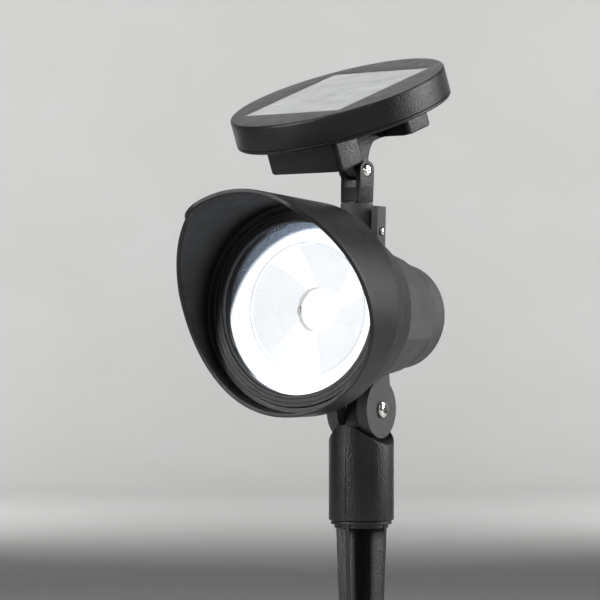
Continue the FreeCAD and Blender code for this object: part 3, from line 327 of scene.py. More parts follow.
def colours(tree, source, dark, light):
    """Turn a noise signal into a blend of two colours."""
    ramp = tree.nodes.new("ShaderNodeValToRGB")
    ramp.color_ramp.elements[0].position = NOISE_LOW
    ramp.color_ramp.elements[1].position = NOISE_HIGH
    ramp.color_ramp.elements[0].color = (*dark, 1)
    ramp.color_ramp.elements[1].color = (*light, 1)
    tree.links.new(source, ramp.inputs["Fac"])
    return ramp.outputs["Color"]


def bumps(tree, shader, source, strength, distance):
    node = tree.nodes.new("ShaderNodeBump")
    node.inputs["Strength"].default_value = strength
    node.inputs["Distance"].default_value = distance
    tree.links.new(source, node.inputs["Height"])
    tree.links.new(node.outputs["Normal"], shader.inputs["Normal"])


def plastic(name, dark, light, gloss, grain_scale, grain, stretch=(1, 1, 1)):
    """Moulded plastic: clouded colour, uneven gloss between gloss[0] and gloss[1], fine grain."""
    material, tree, shader = new_material(name)
    cloud = noise(tree, 60, 4, 0.6)
    tree.links.new(colours(tree, cloud, dark, light), shader.inputs["Base Color"])
    tree.links.new(spread(tree, noise(tree, 140, 5, 0.65), *gloss), shader.inputs["Roughness"])
    shader.inputs["Specular IOR Level"].default_value = 0.3
    bumps(tree, shader, noise(tree, grain_scale, 3, 0.6, stretch), grain, 0.0005)
    return material


def metal(name, dark, light, gloss, scale=900, stretch=(1, 1, 1)):
    """Bare metal with fine streaks in its colour, its gloss and its surface."""
    material, tree, shader = new_material(name)
    streak = noise(tree, scale, 3, 0.6, stretch)
    tree.links.new(colours(tree, streak, dark, light), shader.inputs["Base Color"])
    shader.inputs["Metallic"].default_value = 1.0
    tree.links.new(spread(tree, streak, *gloss), shader.inputs["Roughness"])
    bumps(tree, shader, streak, 0.08, 0.0001)
    return material


# %% The plastics and metals
HOOD_BLACK = plastic("hood_black", (0.004, 0.004, 0.0045), (0.0075, 0.0075, 0.008), (0.3, 0.42), 1500, 0.5)
COLLAR_BLACK = plastic("collar_black", (0.003, 0.003, 0.0035), (0.006, 0.006, 0.0065), (0.42, 0.54),
                       2600, 0.22)
HOUSING_GREY = plastic("housing_charcoal", (0.048, 0.048, 0.049), (0.068, 0.068, 0.070), (0.5, 0.64),
                       1100, 1.0)
TUBE_BLACK = plastic("tube_black", (0.006, 0.006, 0.0065), (0.012, 0.012, 0.013), (0.27, 0.4),
                     1200, 0.6, (1, 1, 0.4))
SPIKE_BLACK = plastic("spike_black", (0.006, 0.006, 0.006), (0.012, 0.012, 0.012), (0.32, 0.46),
                      1200, 0.5, (1, 1, 0.4))
PANEL_BLACK = plastic("panel_black", (0.004, 0.004, 0.0045), (0.008, 0.008, 0.0085), (0.28, 0.4), 1300, 0.5)
ARM_BLACK = plastic("arm_black", (0.012, 0.012, 0.0125), (0.02, 0.02, 0.021), (0.28, 0.4), 1300, 0.5)
KNOB_BLACK = plastic("knob_black", (0.012, 0.012, 0.012), (0.02, 0.02, 0.02), (0.35, 0.45), 2600, 0.15)
SEAL_BLACK = plastic("seal_black", (0.01, 0.01, 0.01), (0.018, 0.018, 0.018), (0.7, 0.85), 3000, 0.3)
NYLON = plastic("nylon", (0.55, 0.55, 0.5), (0.68, 0.68, 0.63), (0.4, 0.55), 1500, 0.1)
BRIGHT_STEEL = metal("bright_steel", (0.62, 0.61, 0.58), (0.86, 0.85, 0.82), (0.12, 0.26))
NUT_STEEL = metal("nut_steel", (0.45, 0.45, 0.46), (0.62, 0.62, 0.63), (0.28, 0.42))
SPREADER_METAL = metal("spreader_metal", (0.62, 0.62, 0.63), (0.74, 0.74, 0.75), (0.3, 0.45), 300,
                       (1, 1, 12))
BUSBAR = metal("busbar", (0.7, 0.7, 0.7), (0.85, 0.85, 0.85), (0.3, 0.42))
BOARD_GREEN = plastic("board_green", (0.01, 0.09, 0.035), (0.015, 0.13, 0.05), (0.25, 0.35), 900, 0.1)
BOARD_WHITE = plastic("board_white", (0.75, 0.75, 0.73), (0.85, 0.85, 0.83), (0.3, 0.4), 900, 0.05)
CHIP_BLACK = plastic("chip_black", (0.015, 0.015, 0.016), (0.022, 0.022, 0.023), (0.5, 0.6), 2600, 0.2)
SLEEVE = plastic("battery_sleeve", (0.04, 0.13, 0.09), (0.06, 0.18, 0.12), (0.2, 0.3), 400, 0.05)


# %% [markdown]
# The lamp is lit, so the LEDs glow as lamps, and the reflector glows as well: its glow is painted
# light that stands in for the LEDs' light in it. The lens has an index of 1.08, far below the 1.49 of
# real acrylic: at 1.49 the reflector behind it rendered as one white disc and its facets were lost.
# That is a choice for the look and not a property of a real lens. The solar cover, which has nothing
# bright behind it, keeps 1.49.

# %% Clear and glowing finishes
def clear_plastic(name, gloss, tint, index):
    """Transparent moulding with a trace of unevenness in its polish.

    The index sets how far it bends light and how much it mirrors."""
    material, tree, shader = new_material(name)
    shader.inputs["Base Color"].default_value = (*tint, 1)
    shader.inputs["Transmission Weight"].default_value = 1.0
    shader.inputs["IOR"].default_value = index
    tree.links.new(spread(tree, noise(tree, 90, 3), *gloss), shader.inputs["Roughness"])
    return material


def glowing(name, base, light, strength, gloss, metallic=0.0, grain=0.0, grain_scale=900):
    """A surface that shines with emission and still reflects. On the LEDs the glow is their own light;
    on the reflector it is painted light that stands in for the LEDs' light in it.
    """
    material, tree, shader = new_material(name)
    cloud = noise(tree, 70, 2, 0.4)
    tree.links.new(colours(tree, cloud, tuple(c * 0.9 for c in base), base), shader.inputs["Base Color"])
    shader.inputs["Metallic"].default_value = metallic
    tree.links.new(spread(tree, cloud, *gloss), shader.inputs["Roughness"])
    shader.inputs["Emission Color"].default_value = (*light, 1)
    shader.inputs["Emission Strength"].default_value = strength
    if grain > 0:
        bumps(tree, shader, noise(tree, grain_scale, 2), grain, 0.0004)
    return material, tree, shader


def rim_with_painted_shade(name):
    """The stippled rim. Its glow is painted light that is strong inside a circle set off to the lower side,
    so the upper edge is left as a painted dark crescent of shade that only mirrors the inside of the visor."""
    material, tree, shader = glowing(name, (0.24, 0.30, 0.40), (0.95, 0.975, 1.0), 1.0, (0.16, 0.34),
                                     0.9, 1.0, 1100)
    # Painted light and shade: the glow fades from full inside this circle to almost nothing beyond it.
    painted_light_centre = LAMP @ Vector((0.552 * 12.4, -0.834 * 12.4, 50))
    painted_light_reach = 45.3
    painted_shade_reach = 47.6
    place = tree.nodes.new("ShaderNodeTexCoord")
    reach = tree.nodes.new("ShaderNodeVectorMath")
    reach.operation = "DISTANCE"
    reach.inputs[1].default_value = painted_light_centre
    fade = tree.nodes.new("ShaderNodeMapRange")
    fade.interpolation_type = "SMOOTHSTEP"
    fade.inputs["From Min"].default_value = painted_light_reach * MM
    fade.inputs["From Max"].default_value = painted_shade_reach * MM
    fade.inputs["To Min"].default_value = 1.1
    fade.inputs["To Max"].default_value = 0.04
    tree.links.new(place.outputs["Object"], reach.inputs[0])
    tree.links.new(reach.outputs["Value"], fade.inputs["Value"])
    tree.links.new(fade.outputs["Result"], shader.inputs["Emission Strength"])
    return material


LENS_CLEAR = clear_plastic("lens_clear", (0.0, 0.03), (0.97, 0.985, 1.0), 1.08)
COVER_CLEAR = clear_plastic("cover_clear", (0.12, 0.2), (0.93, 0.95, 0.97), 1.49)
EMITTER = glowing("emitter_light", (1.0, 0.98, 0.93), (1.0, 0.985, 0.95), 1.6, (0.3, 0.4))[0]
CHIP_LIGHT = glowing("led_phosphor", (0.95, 0.8, 0.3), (1.0, 0.93, 0.7), 2.0, (0.4, 0.5))[0]
# Painted light: the reflector's cup and its thin line glow in place of the LEDs' light they reflect.
MIRROR_CUP = glowing("mirror_cup", (0.07, 0.07, 0.08), (0.97, 0.985, 1.0), 0.84, (0.2, 0.3),
                     0.0, 0.12)[0]
# Painted highlight: a brighter glow for some of the reflector's facets.
MIRROR_PAINTED_HIGHLIGHT = glowing("mirror_painted_highlight", (0.07, 0.07, 0.08), (0.98, 0.99, 1.0), 1.15, (0.2, 0.3),
                        0.0, 0.1)[0]
MIRROR_LINE = glowing("mirror_line", (0.07, 0.07, 0.08), (0.97, 0.985, 1.0), 0.6, (0.2, 0.3))[0]
# Painted light with a painted crescent of shade on the reflector's rim.
MIRROR_RIM = rim_with_painted_shade("mirror_rim")


def silicon():
    """Solar silicon under resin: fine finger lines across each wafer on a silver-grey ground. The
    ground's light grey is partly the silicon's own tone and partly a painted reflection of the sky.
    """
    material, tree, shader = new_material("silicon")
    place = tree.nodes.new("ShaderNodeTexCoord")
    turn = tree.nodes.new("ShaderNodeMapping")
    turn.inputs["Rotation"].default_value = (0, 0, -math.atan2(hinge_axis.y, hinge_axis.x))
    lines = tree.nodes.new("ShaderNodeTexWave")
    lines.wave_type = "BANDS"
    lines.bands_direction = "Y"
    lines.inputs["Scale"].default_value = 160
    lines.inputs["Distortion"].default_value = 0.0
    tree.links.new(place.outputs["Object"], turn.inputs["Vector"])
    tree.links.new(turn.outputs["Vector"], lines.inputs["Vector"])
    # The light ground is partly the silicon's tone and partly a painted reflection of the sky.
    ground = colours(tree, noise(tree, 45, 5, 0.7, (1, 3, 1)), (0.62, 0.625, 0.63), (0.76, 0.765, 0.77))
    mix = tree.nodes.new("ShaderNodeMix")
    mix.data_type = "RGBA"
    mix.inputs["B"].default_value = (0.86, 0.86, 0.86, 1)
    tree.links.new(spread(tree, lines.outputs["Fac"], 0.0, 0.35), mix.inputs["Factor"])
    tree.links.new(ground, mix.inputs["A"])
    tree.links.new(mix.outputs["Result"], shader.inputs["Base Color"])
    shader.inputs["Metallic"].default_value = 0.25
    tree.links.new(spread(tree, noise(tree, 120, 4), 0.26, 0.38), shader.inputs["Roughness"])
    return material


SILICON = silicon()
LAMINATE = plastic("laminate", (0.5, 0.51, 0.52), (0.58, 0.59, 0.6), (0.3, 0.4), 900, 0.05)
print(len(bpy.data.materials), "materials")


# %% Give a piece its body and finish, and hide the CAD node it stands for
def finish_piece(obj, body, material, node):
    obj.data.materials.clear()
    obj.data.materials.append(material)
    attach(obj, body)
    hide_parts(node)
    print(obj.name, len(obj.data.polygons), "faces")
    return obj


# %% [markdown]
# ## The stake
# The tube's top is cut by a round saddle so that the lamp's ears can swing in it. A boolean would
# leave a ragged rim. Here the height of the wall is worked out for each angle instead, so the rim is
# one clean curve with a soft edge. A mould leaves a fine seam down the front.

# %% Tube
TUBE_RADIUS = 15.0
TUBE_BORE = 12.6
TUBE_BOTTOM = 3.6
BORE_TOP = 29.6
SADDLE_RADIUS = 16.4


def saddle(radius, angle):
    return PIVOT_HEIGHT - math.sqrt(SADDLE_RADIUS ** 2 - (radius * math.cos(angle)) ** 2)


def tube_profile(angle):
    wall = [(0, BORE_TOP), (TUBE_BORE, BORE_TOP), (TUBE_BORE, TUBE_BOTTOM), (TUBE_RADIUS, TUBE_BOTTOM),
            (TUBE_RADIUS, saddle(TUBE_RADIUS, angle), 0.5)]
    wall += [(r, saddle(r, angle), 0) for r in (14.2, 13, 11, 9, 7, 5, 3, 1.5, 0)]
    return rounded(wall, 0.5)


tube = spun("tube", tube_profile, STAKE)
seam = extruded("tube_seam", rectangle(-0.3, 0.3, -TUBE_RADIUS - 0.28, -TUBE_RADIUS + 0.5),
                TUBE_BOTTOM + 3, PIVOT_HEIGHT - SADDLE_RADIUS - 1, STAKE, bevel=0.1)
TONGUE_RADIUS = 6.4
tongue_top = [(TONGUE_RADIUS * math.cos(a), PIVOT_HEIGHT + TONGUE_RADIUS * math.sin(a))
              for a in [math.pi * k / 24 for k in range(25)]]
tongue_base = PIVOT_HEIGHT - SADDLE_RADIUS - 2.5
tongue = extruded("tongue", [(12, tongue_base)] + tongue_top + [(-12, tongue_base)], -4, 4, STAKE, "x", 0.5)
tube = joined([tube, seam, tongue])
finish_piece(tube, "tube", TUBE_BLACK, "stake_tube")

# %% [markdown]
# The spike is two thin ribs crossed on the centre line. Only its top is ever seen once it is in the
# ground, but the whole of it is made, with the two stop rings that stop it at the soil.

# %% Spike
SPIKE_LENGTH = 150.0
rings = turned("spike_rings", [(0, 0), (12.5, 0), (12.5, 1.7), (14, 1.7), (14, 3.3), (12.5, 3.3),
                               (12.5, 24.3), (11.5, 25.3), (10.1, 25.3), (10.1, 3.3), (0, 3.3)],
               STAKE, 0.35, closed=False)
rib_outline = rounded([(13, 1.7, 0), (7.5, -120, 6), (1.2, -SPIKE_LENGTH), (-1.2, -SPIKE_LENGTH),
                       (-7.5, -120, 6), (-13, 1.7, 0)], 0.8, closed=True)
rib_across = extruded("rib_across", rib_outline, -1.2, 1.2, STAKE, "y", 0.35)
rib_along = extruded("rib_along", rib_outline, -1.2, 1.2, STAKE, "x", 0.35)
spike = joined([rings, rib_across, rib_along])
finish_piece(spike, "spike", SPIKE_BLACK, "ground_spike")

# %% [markdown]
# ## The lamp's shells
# The hood is the part that gives the lamp its face: a flared tube, cut by one sweeping curve from a
# long visor above to a short lip below. The curve is three arcs. For each angle round the tube the
# script finds how far forward the curve lets the wall reach, and closes it there with a flat rim and
# two soft edges.

# %% Hood
HOOD_BACK = 51.2
HOOD_RADIUS = 48.5
HOOD_FLARE = 0.036
HOOD_WALL = 1.9
LENS_FACE = 60.0
SWEEP_POINTS = [(-60, 8), (-36, 8)]
SWEEP_POINTS += arc((-36, 8), (5, 20.5), 100, -1) + arc((5, 20.5), (38, 42), 170, -1)
SWEEP_POINTS += arc((38, 42), (44, 49), 11, 1, 8) + [(60, 49)]


def visor_reach(height):
    for (low, reach_low), (high, reach_high) in zip(SWEEP_POINTS, SWEEP_POINTS[1:]):
        if low <= height <= high:
            return reach_low + (reach_high - reach_low) * (height - low) / (high - low)
    return SWEEP_POINTS[-1][1]


def hood_outer(forward):
    return HOOD_RADIUS + HOOD_FLARE * (forward - HOOD_BACK)


def hood_profile(angle):
    front = LENS_FACE + 20
    for _ in range(30):
        front += (LENS_FACE + visor_reach(hood_outer(front) * math.cos(angle)) - front) * 0.5
    inner = hood_outer(front) - HOOD_WALL
    ledge = hood_outer(LENS_FACE) - HOOD_WALL
    wall = [(HOOD_RADIUS, HOOD_BACK, 0.5)]
    wall += [(hood_outer(HOOD_BACK + (front - HOOD_BACK) * t), HOOD_BACK + (front - HOOD_BACK) * t, 0)
             for t in (0.1, 0.3, 0.5, 0.7, 0.9)]
    wall += [(hood_outer(front), front, 0.45), (inner, front, 0.45),
             (inner - 0.25, front - 1.3, 0.3), (inner - 0.1, front - 2.2, 0.3)]
    wall += [(hood_outer(front - 2.2 - (front - 2.2 - LENS_FACE) * t) - HOOD_WALL - 0.1,
              front - 2.2 - (front - 2.2 - LENS_FACE) * t, 0) for t in (0.15, 0.35, 0.55, 0.75, 0.9)]
    wall += [(ledge - 0.1, LENS_FACE - 0.8, 0.4), (44.6, LENS_FACE - 0.8, 0.2), (44.6, 57.4, 0.1),
             (46.6, 57.4, 0.1), (46.6, HOOD_BACK, 0.2)]
    return rounded(wall, 0.3, closed=True)


hood = spun("hood_shell", hood_profile, LAMP, 288, closed=True)
finish_piece(hood, "lamp", HOOD_BLACK, "hood")

# %% [markdown]
# The collar is the flared ring behind the hood. It is one turned profile, duller than the hood.

# %% Collar
COLLAR_PROFILE = [(25, 14.5), (28, 14.5), (28, 16.5), (27, 16.5), (27, 18.1), (28, 18.1), (28, 20.9),
                  (37.4, 20.9), (42.4, 35.5, 6), (47.3, 49.8), (46.7, 50.6), (46.2, 50.6), (46.2, 57.4),
                  (41.4, 57.4), (41.4, 54.0), (39.4, 54.0), (39.4, 52.0), (43.2, 52.0), (43.2, 50.6),
                  (35.4, 23.5), (25, 23.1)]
collar = turned("collar_shell", COLLAR_PROFILE, LAMP, 0.25, 192)
flange = turned("collar_flange", [(10, 14.5), (25.5, 14.5), (25.5, 17.1), (10, 17.1)], LAMP, 0.2)
collar = joined([collar, flange])
finish_piece(collar, "lamp", COLLAR_BLACK, "front_collar")

# %% [markdown]
# ## Rear housing
# Behind the collar the housing has eight flat sides that fade into a rounded back. Each point's
# radius is the smaller of two radii: that of the smooth turned form, and that of the nearest flat. A
# soft minimum in place of a sharp one gives each edge the small fillet that a moulding has. In front
# the flats end at a round rim that the collar closes on.

# %% Housing body
HOUSING_FRONT = 20.7
RIM_BACK = 18.3
RIM_RADIUS = 36.0
FACET_END = -20.0
FRONT_FLATS = 31.5
REAR_FLATS = 25.2
SIDES = 8
CORNER = 1 / math.cos(math.pi / SIDES)
ROUND_FRONT = FRONT_FLATS * CORNER + 0.3
ROUND_REAR = REAR_FLATS * CORNER + 0.3
ROUND_START = FACET_END + 2
ROUND_BACK = arc((ROUND_REAR, ROUND_START), (24.4, -33.0), 42, -1, 16)


def flat_radius(forward):
    slope = (FRONT_FLATS - REAR_FLATS) / (RIM_BACK - FACET_END)
    run_out = max(0.0, FACET_END - forward)
    return REAR_FLATS + slope * max(0.0, forward - FACET_END) + 0.027 * run_out ** 2


def sided_radius(angle, forward):
    """Distance to the flats at this angle, with softened edges between them."""
    softness = 0.0035
    facing = [math.cos(angle - 2 * math.pi * k / SIDES) for k in range(SIDES)]
    nearest = max(facing)
    soft = softness * math.log(sum(math.exp((f - nearest) / softness) for f in facing))
    return flat_radius(forward) / (nearest + soft)


def smaller(a, b, softness=0.12):
    low = min(a, b)
    return low - softness * math.log(math.exp((low - a) / softness) + math.exp((low - b) / softness))


def housing_profile(angle):
    wall = [(0, -34.5), (10, -34.5), (18, -34.5), (22.2, -34.5), (23.4, -34.15), (24.1, -33.6)]
    for radius, forward in reversed(ROUND_BACK):
        wall.append((smaller(radius, sided_radius(angle, forward)), forward))
    for k in range(0, 15):
        forward = ROUND_START + (RIM_BACK - ROUND_START) * k / 14
        radius = ROUND_REAR + (ROUND_FRONT - ROUND_REAR) * k / 14
        wall.append((smaller(radius, sided_radius(angle, forward)), forward))
    wall += [(RIM_RADIUS - 0.3, RIM_BACK), (RIM_RADIUS, RIM_BACK + 0.3), (RIM_RADIUS, HOUSING_FRONT - 0.3),
             (RIM_RADIUS - 0.3, HOUSING_FRONT), (28.05, HOUSING_FRONT), (28.05, 14.0), (26.4, 13.6),
             (22.8, -20), (20.8, -32.1), (0, -32.1)]
    return wall


housing = spun("housing_shell", housing_profile, LAMP, 320)
BOSS_RING = 16.0
wells = []
for k in range(3):
    turn_by = math.radians(-90 + 120 * k)
    wells.append(extruded("well", circle(BOSS_RING * math.cos(turn_by), BOSS_RING * math.sin(turn_by), 3.2),
                          -40, -32.5, LAMP, "z", 0))
housing = with_boolean(housing, wells)

# %% [markdown]
# Two ears hang below the housing and clamp the stake's tongue. A socket with a locking lug beside it
# stands on top and takes the arm. They are extruded and turned pieces of the same shell.

# %% Ears, socket and lug
EAR_INNER = 5.2
EAR_OUTER = 10.7
EAR_RADIUS = 13.4
NECK_HALF = 6.2
neck_angle = math.asin(NECK_HALF / EAR_RADIUS)
ear_outline = [(-AXIS_HEIGHT + EAR_RADIUS * math.cos(a), EAR_RADIUS * math.sin(a))
               for a in [neck_angle + 2 * (math.pi - neck_angle) * k / 48 for k in range(49)]]
ear_outline += [(-22, -NECK_HALF), (-22, NECK_HALF)]
right_ear = extruded("right_ear", ear_outline, EAR_INNER, EAR_OUTER, LAMP, "x", 0.9)
left_ear = extruded("left_ear", ear_outline, -EAR_OUTER, -EAR_INNER, LAMP, "x", 0.9)
nut_pocket = [(-AXIS_HEIGHT + 4.12 * math.cos(math.radians(60 * k)), 4.12 * math.sin(math.radians(60 * k)))
              for k in range(6)]
hex_cut = extruded("hex", nut_pocket, -EAR_OUTER - 1, -EAR_OUTER + 3.4, LAMP, "x", 0)
left_ear = with_boolean(left_ear, [hex_cut])
SOCKET_UP = LAMP @ Matrix.Translation((0, 0, SOCKET_PLACE)) @ Matrix.Rotation(-math.pi / 2, 4, "X")
socket = turned("socket", [(0, 24), (7.5, 24), (7.5, 50.3), (5.1, 50.3), (5.1, 39), (0, 39)],
                SOCKET_UP, 0.5, 96, closed=False)
lug = extruded("lug", rounded(rectangle(10.0, 13.4, SOCKET_PLACE - 4, SOCKET_PLACE + 4), 0.6, closed=True),
               24.0, 48.8, LAMP, "y", 0.5)
housing = joined([housing, right_ear, left_ear, socket, lug])
finish_piece(housing, "lamp", HOUSING_GREY, "rear_housing")

# %% [markdown]
# ## Bezel, lens and reflector
# The bezel ring has two hair-thin grooves. The lens is a clear disc with a low step. Behind it a
# metallised reflector has a broad stippled rim and a cup of flat facets. The facets are real geometry:
# each is a flat quad, and the flat shading is what makes the cup sparkle. The wedges of light come from
# the facets and from a painted highlight: three facets in each ring glow brighter. All of the
# reflector's glow is painted light.

# %% Bezel and lens
bezel = turned("bezel", [(38.8, 57.4, 0), (44.4, 57.4), (44.4, 60.0), (42.9, 60.0, 0.1), (42.8, 59.88, 0.1),
                         (42.6, 59.88, 0.1), (42.5, 60.0, 0.1), (40.9, 60.0, 0.1), (40.8, 59.88, 0.1),
                         (40.6, 59.88, 0.1), (40.5, 60.0, 0.1), (39.4, 60.0), (38.8, 59.4)], LAMP, 0.25, 192)
finish_piece(bezel, "lamp", HOOD_BLACK, "bezel_ring")
lens = turned("clear_lens", [(0, 54.8), (41.2, 54.8), (41.2, 57.4), (38.5, 57.4), (37.8, 58.1),
                             (30.4, 58.1, 0.1), (30.2, 57.9, 0.1), (30.0, 57.9, 0.1), (29.8, 58.1, 0.1),
                             (0, 58.1)], LAMP, 0.3, 192, closed=False)
finish_piece(lens, "lamp", LENS_CLEAR, "lens")

# %% Faceted reflector
HUB_RADIUS = 11.0
CUP_EDGE = 32.6
CUP_FRONT = 48.1
CUP_BACK = 40.5
WEDGES = 12
# The facets in each ring that carry the painted highlight.
HIGHLIGHT_WEDGES = (0, 3, 8)


def cup_depth(radius):
    share = (radius - HUB_RADIUS) / (CUP_EDGE - HUB_RADIUS)
    return CUP_BACK + (CUP_FRONT - CUP_BACK) * (0.72 * share + 0.28 * share ** 2)


def faceted_cup():
    """Two rings of flat facets. Every other corner between them is lifted, so the facets tilt apart."""
    verts = []
    faces = []
    rings_of_facets = [HUB_RADIUS, 20.0, CUP_EDGE]
    for number, radius in enumerate(rings_of_facets):
        for k in range(WEDGES):
            angle = 2 * math.pi * (k + 0.25 * number) / WEDGES
            lift = 0.45 * (1 if (k + number) % 2 else -1) if number == 1 else 0
            verts.append((radius * math.cos(angle), radius * math.sin(angle), cup_depth(radius) + lift))
    for number in range(len(rings_of_facets) - 1):
        for k in range(WEDGES):
            here = number * WEDGES + k
            beside = number * WEDGES + (k + 1) % WEDGES
            faces.append((here, beside, beside + WEDGES, here + WEDGES))
    cup = mesh_object("mirror_facets", verts, faces, LAMP)
    solid = cup.modifiers.new("wall", "SOLIDIFY")
    solid.thickness = 1.0 * MM
    solid.offset = -1
    return with_boolean(cup, [])


cup = faceted_cup()
cup.data.polygons.foreach_set("use_smooth", [False] * len(cup.data.polygons))
cup.data.materials.append(MIRROR_CUP)
cup.data.materials.append(MIRROR_PAINTED_HIGHLIGHT)
# Painted highlight: these facets take the brighter glowing finish.
for index, polygon in enumerate(cup.data.polygons):
    polygon.material_index = 1 if index % WEDGES in HIGHLIGHT_WEDGES else 0
rim = turned("mirror_rim_ring", [(29.6, 49.6), (38.4, 52.0), (42.8, 52.0), (42.8, 50.8), (38.6, 50.8),
                                 (29.6, 48.4)], LAMP, 0.15, 192)
rim.data.materials.append(MIRROR_RIM)
line = turned("mirror_line", [(29.7, 49.2), (30.35, 49.2), (30.35, 50.0), (29.7, 49.85)], LAMP, 0.1, 192)
line.data.materials.append(MIRROR_LINE)
bpy.ops.object.select_all(action="DESELECT")
for part in (rim, line, cup):
    part.select_set(True)
bpy.context.view_layer.objects.active = cup
bpy.ops.object.join()
cup.name = "faceted_reflector"
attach(cup, "lamp")
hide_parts("reflector")


# %% [markdown]
# ## Screws
# A pan-head screw is a turned blank with a cross recess. The recess is cut by two crossed bars, and
# its walls are what make the head read as a real screw from a distance.

# %% Screw maker
def screw(name, place, shank, tip, head, seat, height, recess):
    blank = turned(name, [(0, tip), (shank, tip), (shank, seat), (head, seat), (head, seat + height * 0.5),
                          (head * 0.72, seat + height * 0.9, head * 0.25), (0, seat + height)],
                   place, 0.2, 64, closed=False)
    half = head * 0.5
    thin = head * 0.12
    top = seat + height
    bars = [extruded("bar", rectangle(-half, half, -thin, thin), top - recess, top + 1, place, "z", 0),
            extruded("bar", rectangle(-thin, thin, -half, half), top - recess, top + 1, place, "z", 0)]
    return with_boolean(blank, bars)


def copies_of(make, places, name):
    """The same small piece made at each place and joined into one object."""
    return joined([make(f"{name}_{k}", place) for k, place in enumerate(places)])


TURN_TO_X = Matrix.Rotation(math.pi / 2, 4, "Y")
TURN_OVER = Matrix.Rotation(math.pi, 4, "X")
knuckle_place = LAMP @ Matrix.Translation((0, -AXIS_HEIGHT, 0)) @ TURN_TO_X
knuckle = screw("knuckle_cross_screw", knuckle_place, 2.0, -EAR_OUTER + 0.2, 3.95, EAR_OUTER, 2.3, 1.4)
finish_piece(knuckle, "lamp", BRIGHT_STEEL, "knuckle_screw")
lock_place = LAMP @ Matrix.Translation((0, 37.4, SOCKET_PLACE)) @ TURN_TO_X
lock = screw("lug_screw", lock_place, 1.2, 4.8, 1.95, 13.4, 1.4, 0.7)
finish_piece(lock, "lamp", BRIGHT_STEEL, "lock_screw")
fork_screw = screw("fork_cross_screw", ARM @ TURN_TO_X, 1.5, -8.2, 2.8, 5.4, 1.7, 0.9)
finish_piece(fork_screw, "arm", BRIGHT_STEEL, "panel_screw")
boss_places = [LAMP @ Matrix.Translation((BOSS_RING * math.cos(a), BOSS_RING * math.sin(a), 0)) @ TURN_OVER
               for a in [math.radians(-90 + 120 * k) for k in range(3)]]
back_screws = copies_of(lambda name, place: screw(name, place, 1.5, -16.9, 2.8, 32.5, 1.6, 0.9),
                        boss_places, "back_screw")
finish_piece(back_screws, "lamp", BRIGHT_STEEL, "housing_screws")

# %% [markdown]
# ## The arm
# A fork with two cheeks carries the panel. Its post turns in the lamp's socket.

# %% Fork
HALF_DEPTH = 4.4
cheek = [(HALF_DEPTH * math.cos(a), HALF_DEPTH * math.sin(a)) for a in [math.pi * k / 20 for k in range(21)]]
cheek += [(-HALF_DEPTH, -14.8), (HALF_DEPTH, -14.8)]
right_cheek = extruded("right_cheek", cheek, 3.5, 6.4, ARM, "x", 0.45)
right_cheek = with_boolean(right_cheek, [extruded("recess", circle(0, 0, 3.1), 5.4, 8, ARM, "x", 0)])
left_cheek = extruded("left_cheek", cheek, -6.4, -3.5, ARM, "x", 0.45)
block = extruded("fork_block", rounded(rectangle(-6.4, 6.4, -HALF_DEPTH, HALF_DEPTH), 0.7, closed=True),
                 -14.8, -8.0, ARM, "z", 0.4)
post = turned("fork_post", [(0, -26.1), (5.0, -26.1), (5.0, -14.0), (0, -14.0)], ARM, 0.5, 96, closed=False)
nut_boss = turned("nut_boss", [(0, -8.6), (4.0, -8.6), (4.0, -5.8), (0, -5.8)], ARM @ TURN_TO_X, 0.5, 64,
                  closed=False)
hex_outline = [(3.18 * math.cos(math.radians(30 + 60 * k)), 3.18 * math.sin(math.radians(30 + 60 * k)))
               for k in range(6)]
nut_boss = with_boolean(nut_boss, [extruded("hex", hex_outline, -9.5, -6.4, ARM @ TURN_TO_X, "z", 0)])
fork = joined([block, right_cheek, left_cheek, post, nut_boss])
fork.name = "arm_fork"
finish_piece(fork, "arm", ARM_BLACK, "swivel_fork")

# %% [markdown]
# ## The solar panel
# The shell is a shallow drum with a square recess in its top. It is spun too: on the top face each
# ray starts at the edge of the square and ends at the round rim, so the square needs no boolean and
# its edge stays crisp. Below hangs the battery box, C-shaped to clear the fork's screw.

# %% Panel shell
PANEL_RADIUS = 50.5
PANEL_TOP = 38.0
RECESS_HALF = 31.1
RECESS_FLOOR = 36.6


def square_radius(angle):
    """Distance to the recess's edge: a circle rule with so high a power that it is a square."""
    power = 60
    return RECESS_HALF / (abs(math.sin(angle)) ** power + abs(math.cos(angle)) ** power) ** (1 / power)


def shell_profile(angle):
    edge = square_radius(angle)
    wall = [(0, RECESS_FLOOR, 0), (edge * 0.5, RECESS_FLOOR, 0), (edge, RECESS_FLOOR, 0.15),
            (edge, PANEL_TOP, 0.35), (edge + (PANEL_RADIUS - 1.2 - edge) * 0.5, PANEL_TOP, 0),
            (PANEL_RADIUS, PANEL_TOP, 1.3), (PANEL_RADIUS, 32, 0), (PANEL_RADIUS, 26.2, 0.3),
            (48.3, 26.2, 0.2), (48.3, 35.6, 0.3), (0, 35.6, 0)]
    return rounded(wall, 0.3)


shell = spun("panel_drum", shell_profile, PANEL, 360)
finish_piece(shell, "panel", PANEL_BLACK, "panel_shell")

# %% [markdown]
# The panel's floor, its battery box and its hinge lug are one moulding, so they are joined.

